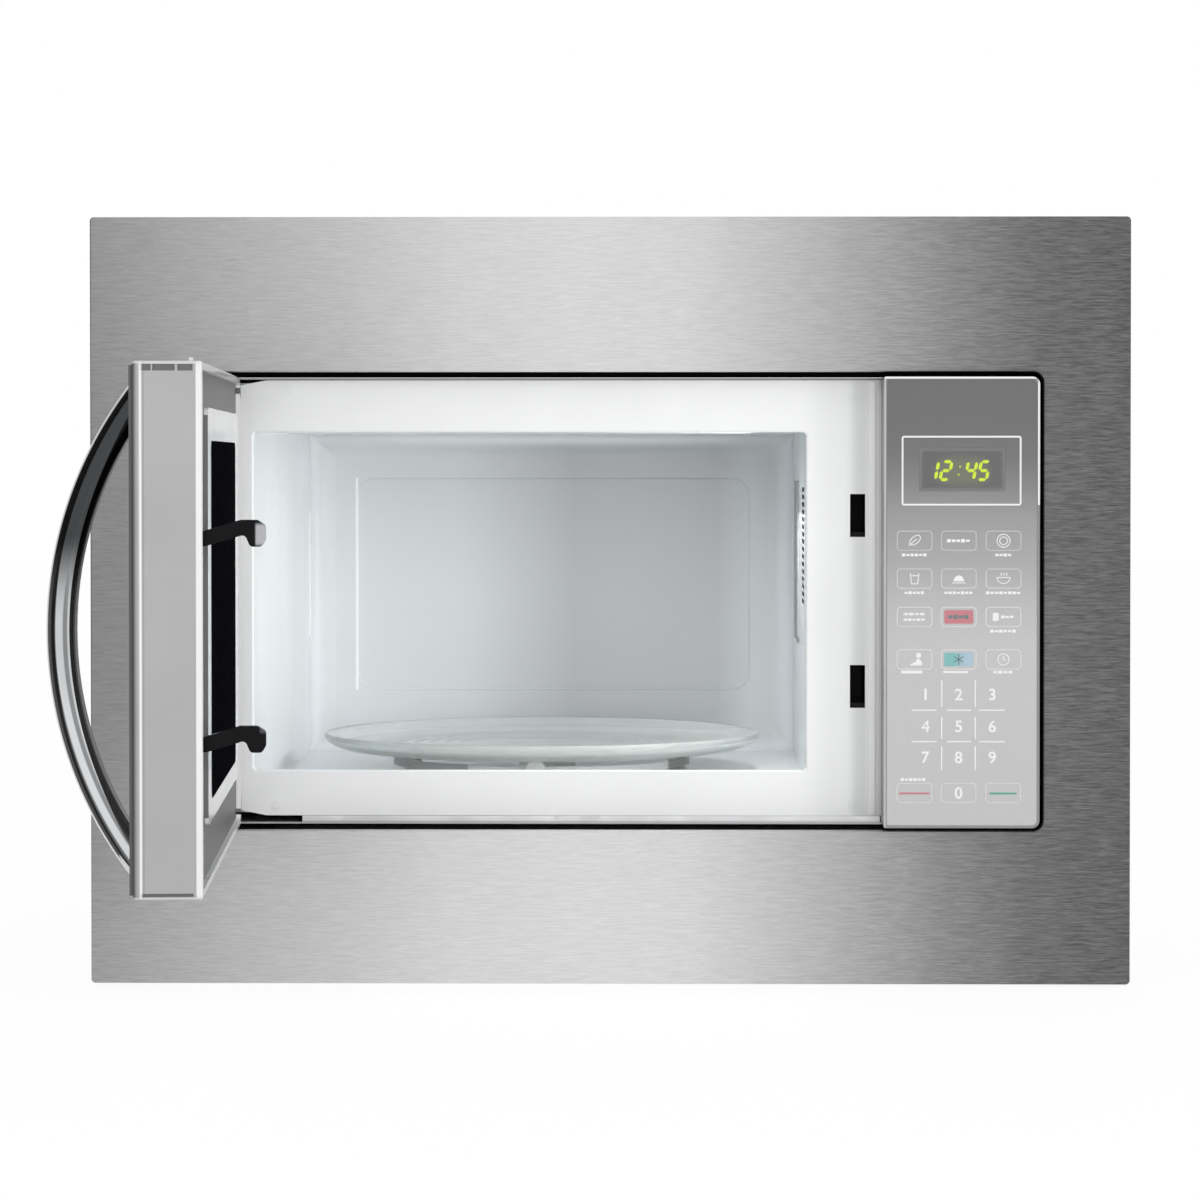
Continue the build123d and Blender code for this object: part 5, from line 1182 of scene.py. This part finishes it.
class OVEN_OT_stage(bpy.types.Operator):
    """Sets the pale floor, the soft light and the camera"""

    bl_idname = "oven.stage"
    bl_label = "Stage"

    def execute(self, context):
        scene, choice = context.scene, context.scene.oven_stage
        scene.view_settings.view_transform = "Standard"
        self.floor()
        self.room(scene, choice.room_light)
        middle, inward = (0.0, -0.05, 0.0), (-1.0, 0.10, -0.62)
        self.lamp("key_lamp", (-0.7, -2.9, 0.55), (1.8, 1.8), middle, choice.key_power)
        self.lamp("fill_lamp", (0.9, -2.8, 0.15), (1.6, 1.6), middle, choice.fill_power)
        bulb = (WALL - 0.004, 0.10, 0.055)
        self.lamp("cavity_lamp", bulb, (0.14, 0.09), inward, choice.cavity_power)
        ground = LOWEST + 0.02
        self.curtain("dark_curtain", (1.0, 1.0), (29, 112), (ground, 2.4))
        self.curtain("dark_ground", (0.1, 1.0), (34, 112), (ground, ground))
        self.camera(scene, choice.focal_length)
        return {"FINISHED"}

    def floor(self):
        """A level sheet just under the piece; it looks white and still takes the shadow."""
        corners = np.array([(-1, -1), (1, -1), (1, 1), (-1, 1)]) * 9.0
        points = np.column_stack((corners, np.full(4, LOWEST - 0.001)))
        finish = Finish("floor_white", {"Base Color": (0.84, 0.84, 0.84, 1), "Roughness": 0.7})
        light = finish.node("ShaderNodeEmission", {}, {"Color": (1, 1, 1, 1), "Strength": 1.06})
        own = Wire(finish, finish.shader.outputs[0])
        share = finish.looked_at() * 0.86
        both = finish.node("ShaderNodeMixShader", {}, {0: share, 1: own, 2: light})
        finish.join(both, finish.tree.nodes["Material Output"].inputs["Surface"])
        sheet = sheet_of("floor", points, [(0, 1, 2, 3)], finish.material)

    def room(self, scene, strength):
        """Even light from all round, and a white room where it is looked at or mirrored."""
        scene.world = bpy.data.worlds.new("room")
        scene.world.use_nodes = True
        room = Nodes(scene.world.node_tree)
        level = room.node("ShaderNodeMapRange", {}, {0: room.looked_at(), 3: strength, 4: 1.0})
        back = room.tree.nodes["Background"]
        room.join(level, back.inputs["Strength"])
        room.join((1, 1, 1, 1), back.inputs["Color"])

    def lamp(self, name, place, size, target, power):
        """A soft rectangular lamp that faces its target and isn't mirrored itself."""
        light = bpy.data.lights.new(name, "AREA")
        light.shape, light.energy = "RECTANGLE", power
        light.size, light.size_y = size
        lit = aimed(name, light, place, Vector(target) - Vector(place))
        lit.visible_glossy = lit.visible_camera = lit.visible_transmission = False

    def curtain(self, name, reach, turn, height):
        """A dark curtain on an arc round the handle, upright or lying, that only mirrors show."""
        steps = 24
        angle = np.radians(np.linspace(*turn, steps))
        arm = np.stack((-np.sin(angle), -np.cos(angle)), 1)
        points = np.concatenate([
            np.column_stack((HANDLE_SIDE + radius * arm, np.full(steps, level)))
            for radius, level in zip(reach, height)
        ])
        cloth = Finish(name, {"Base Color": (0.17, 0.168, 0.166, 1), "Roughness": 0.9})
        sheet = sheet_of(name, points, grid_quads(2, steps, close_columns=False), cloth.material)
        sheet.visible_camera = sheet.visible_diffuse = sheet.visible_shadow = False
        sheet.visible_transmission = False

    def camera(self, scene, focal_length):
        """The camera in front, a little to the right of the middle and above it."""
        data = bpy.data.cameras.new("camera")
        data.lens, data.sensor_width = focal_length, 36.0
        data.shift_x, data.shift_y = CAMERA_SHIFT
        scene.camera = aimed("camera", data, CAMERA_PLACE, CAMERA_WAY)


class OVEN_PT_panel(bpy.types.Panel):
    """Lists the oven's parts and settings in the sidebar"""

    bl_label = "Microwave oven"
    bl_idname = "OVEN_PT_panel"
    bl_space_type = "VIEW_3D"
    bl_region_type = "UI"
    bl_category = "Oven"

    def draw(self, context):
        column = self.layout.column()
        for operator in OPERATORS:
            column.operator(operator.bl_idname)
        for key in GROUPS:
            group = getattr(context.scene, key)
            for name in group.__annotations__:
                column.prop(group, name)


GROUPS = {"oven_colours": OvenColours, "oven_print": OvenPrint, "oven_stage": OvenStage}
OPERATORS = (
    OVEN_OT_stage, OVEN_OT_trim, OVEN_OT_cabinet, OVEN_OT_cavity, OVEN_OT_works, OVEN_OT_turntable,
    OVEN_OT_door, OVEN_OT_handle, OVEN_OT_panel, OVEN_OT_keys, OVEN_OT_clock,
)


def register():
    for name, group in GROUPS.items():
        bpy.utils.register_class(group)
        setattr(bpy.types.Scene, name, bpy.props.PointerProperty(type=group))
    for item in (*OPERATORS, OVEN_PT_panel):
        bpy.utils.register_class(item)


def unregister():
    for item in (OVEN_PT_panel, *reversed(OPERATORS)):
        bpy.utils.unregister_class(item)
    for name, group in GROUPS.items():
        delattr(bpy.types.Scene, name)
        bpy.utils.unregister_class(group)


def main():
    """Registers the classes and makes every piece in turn."""
    register()
    for operator in OPERATORS:
        group, name = operator.bl_idname.split(".")
        getattr(getattr(bpy.ops, group), name)()


if __name__ == "__main__":
    main()
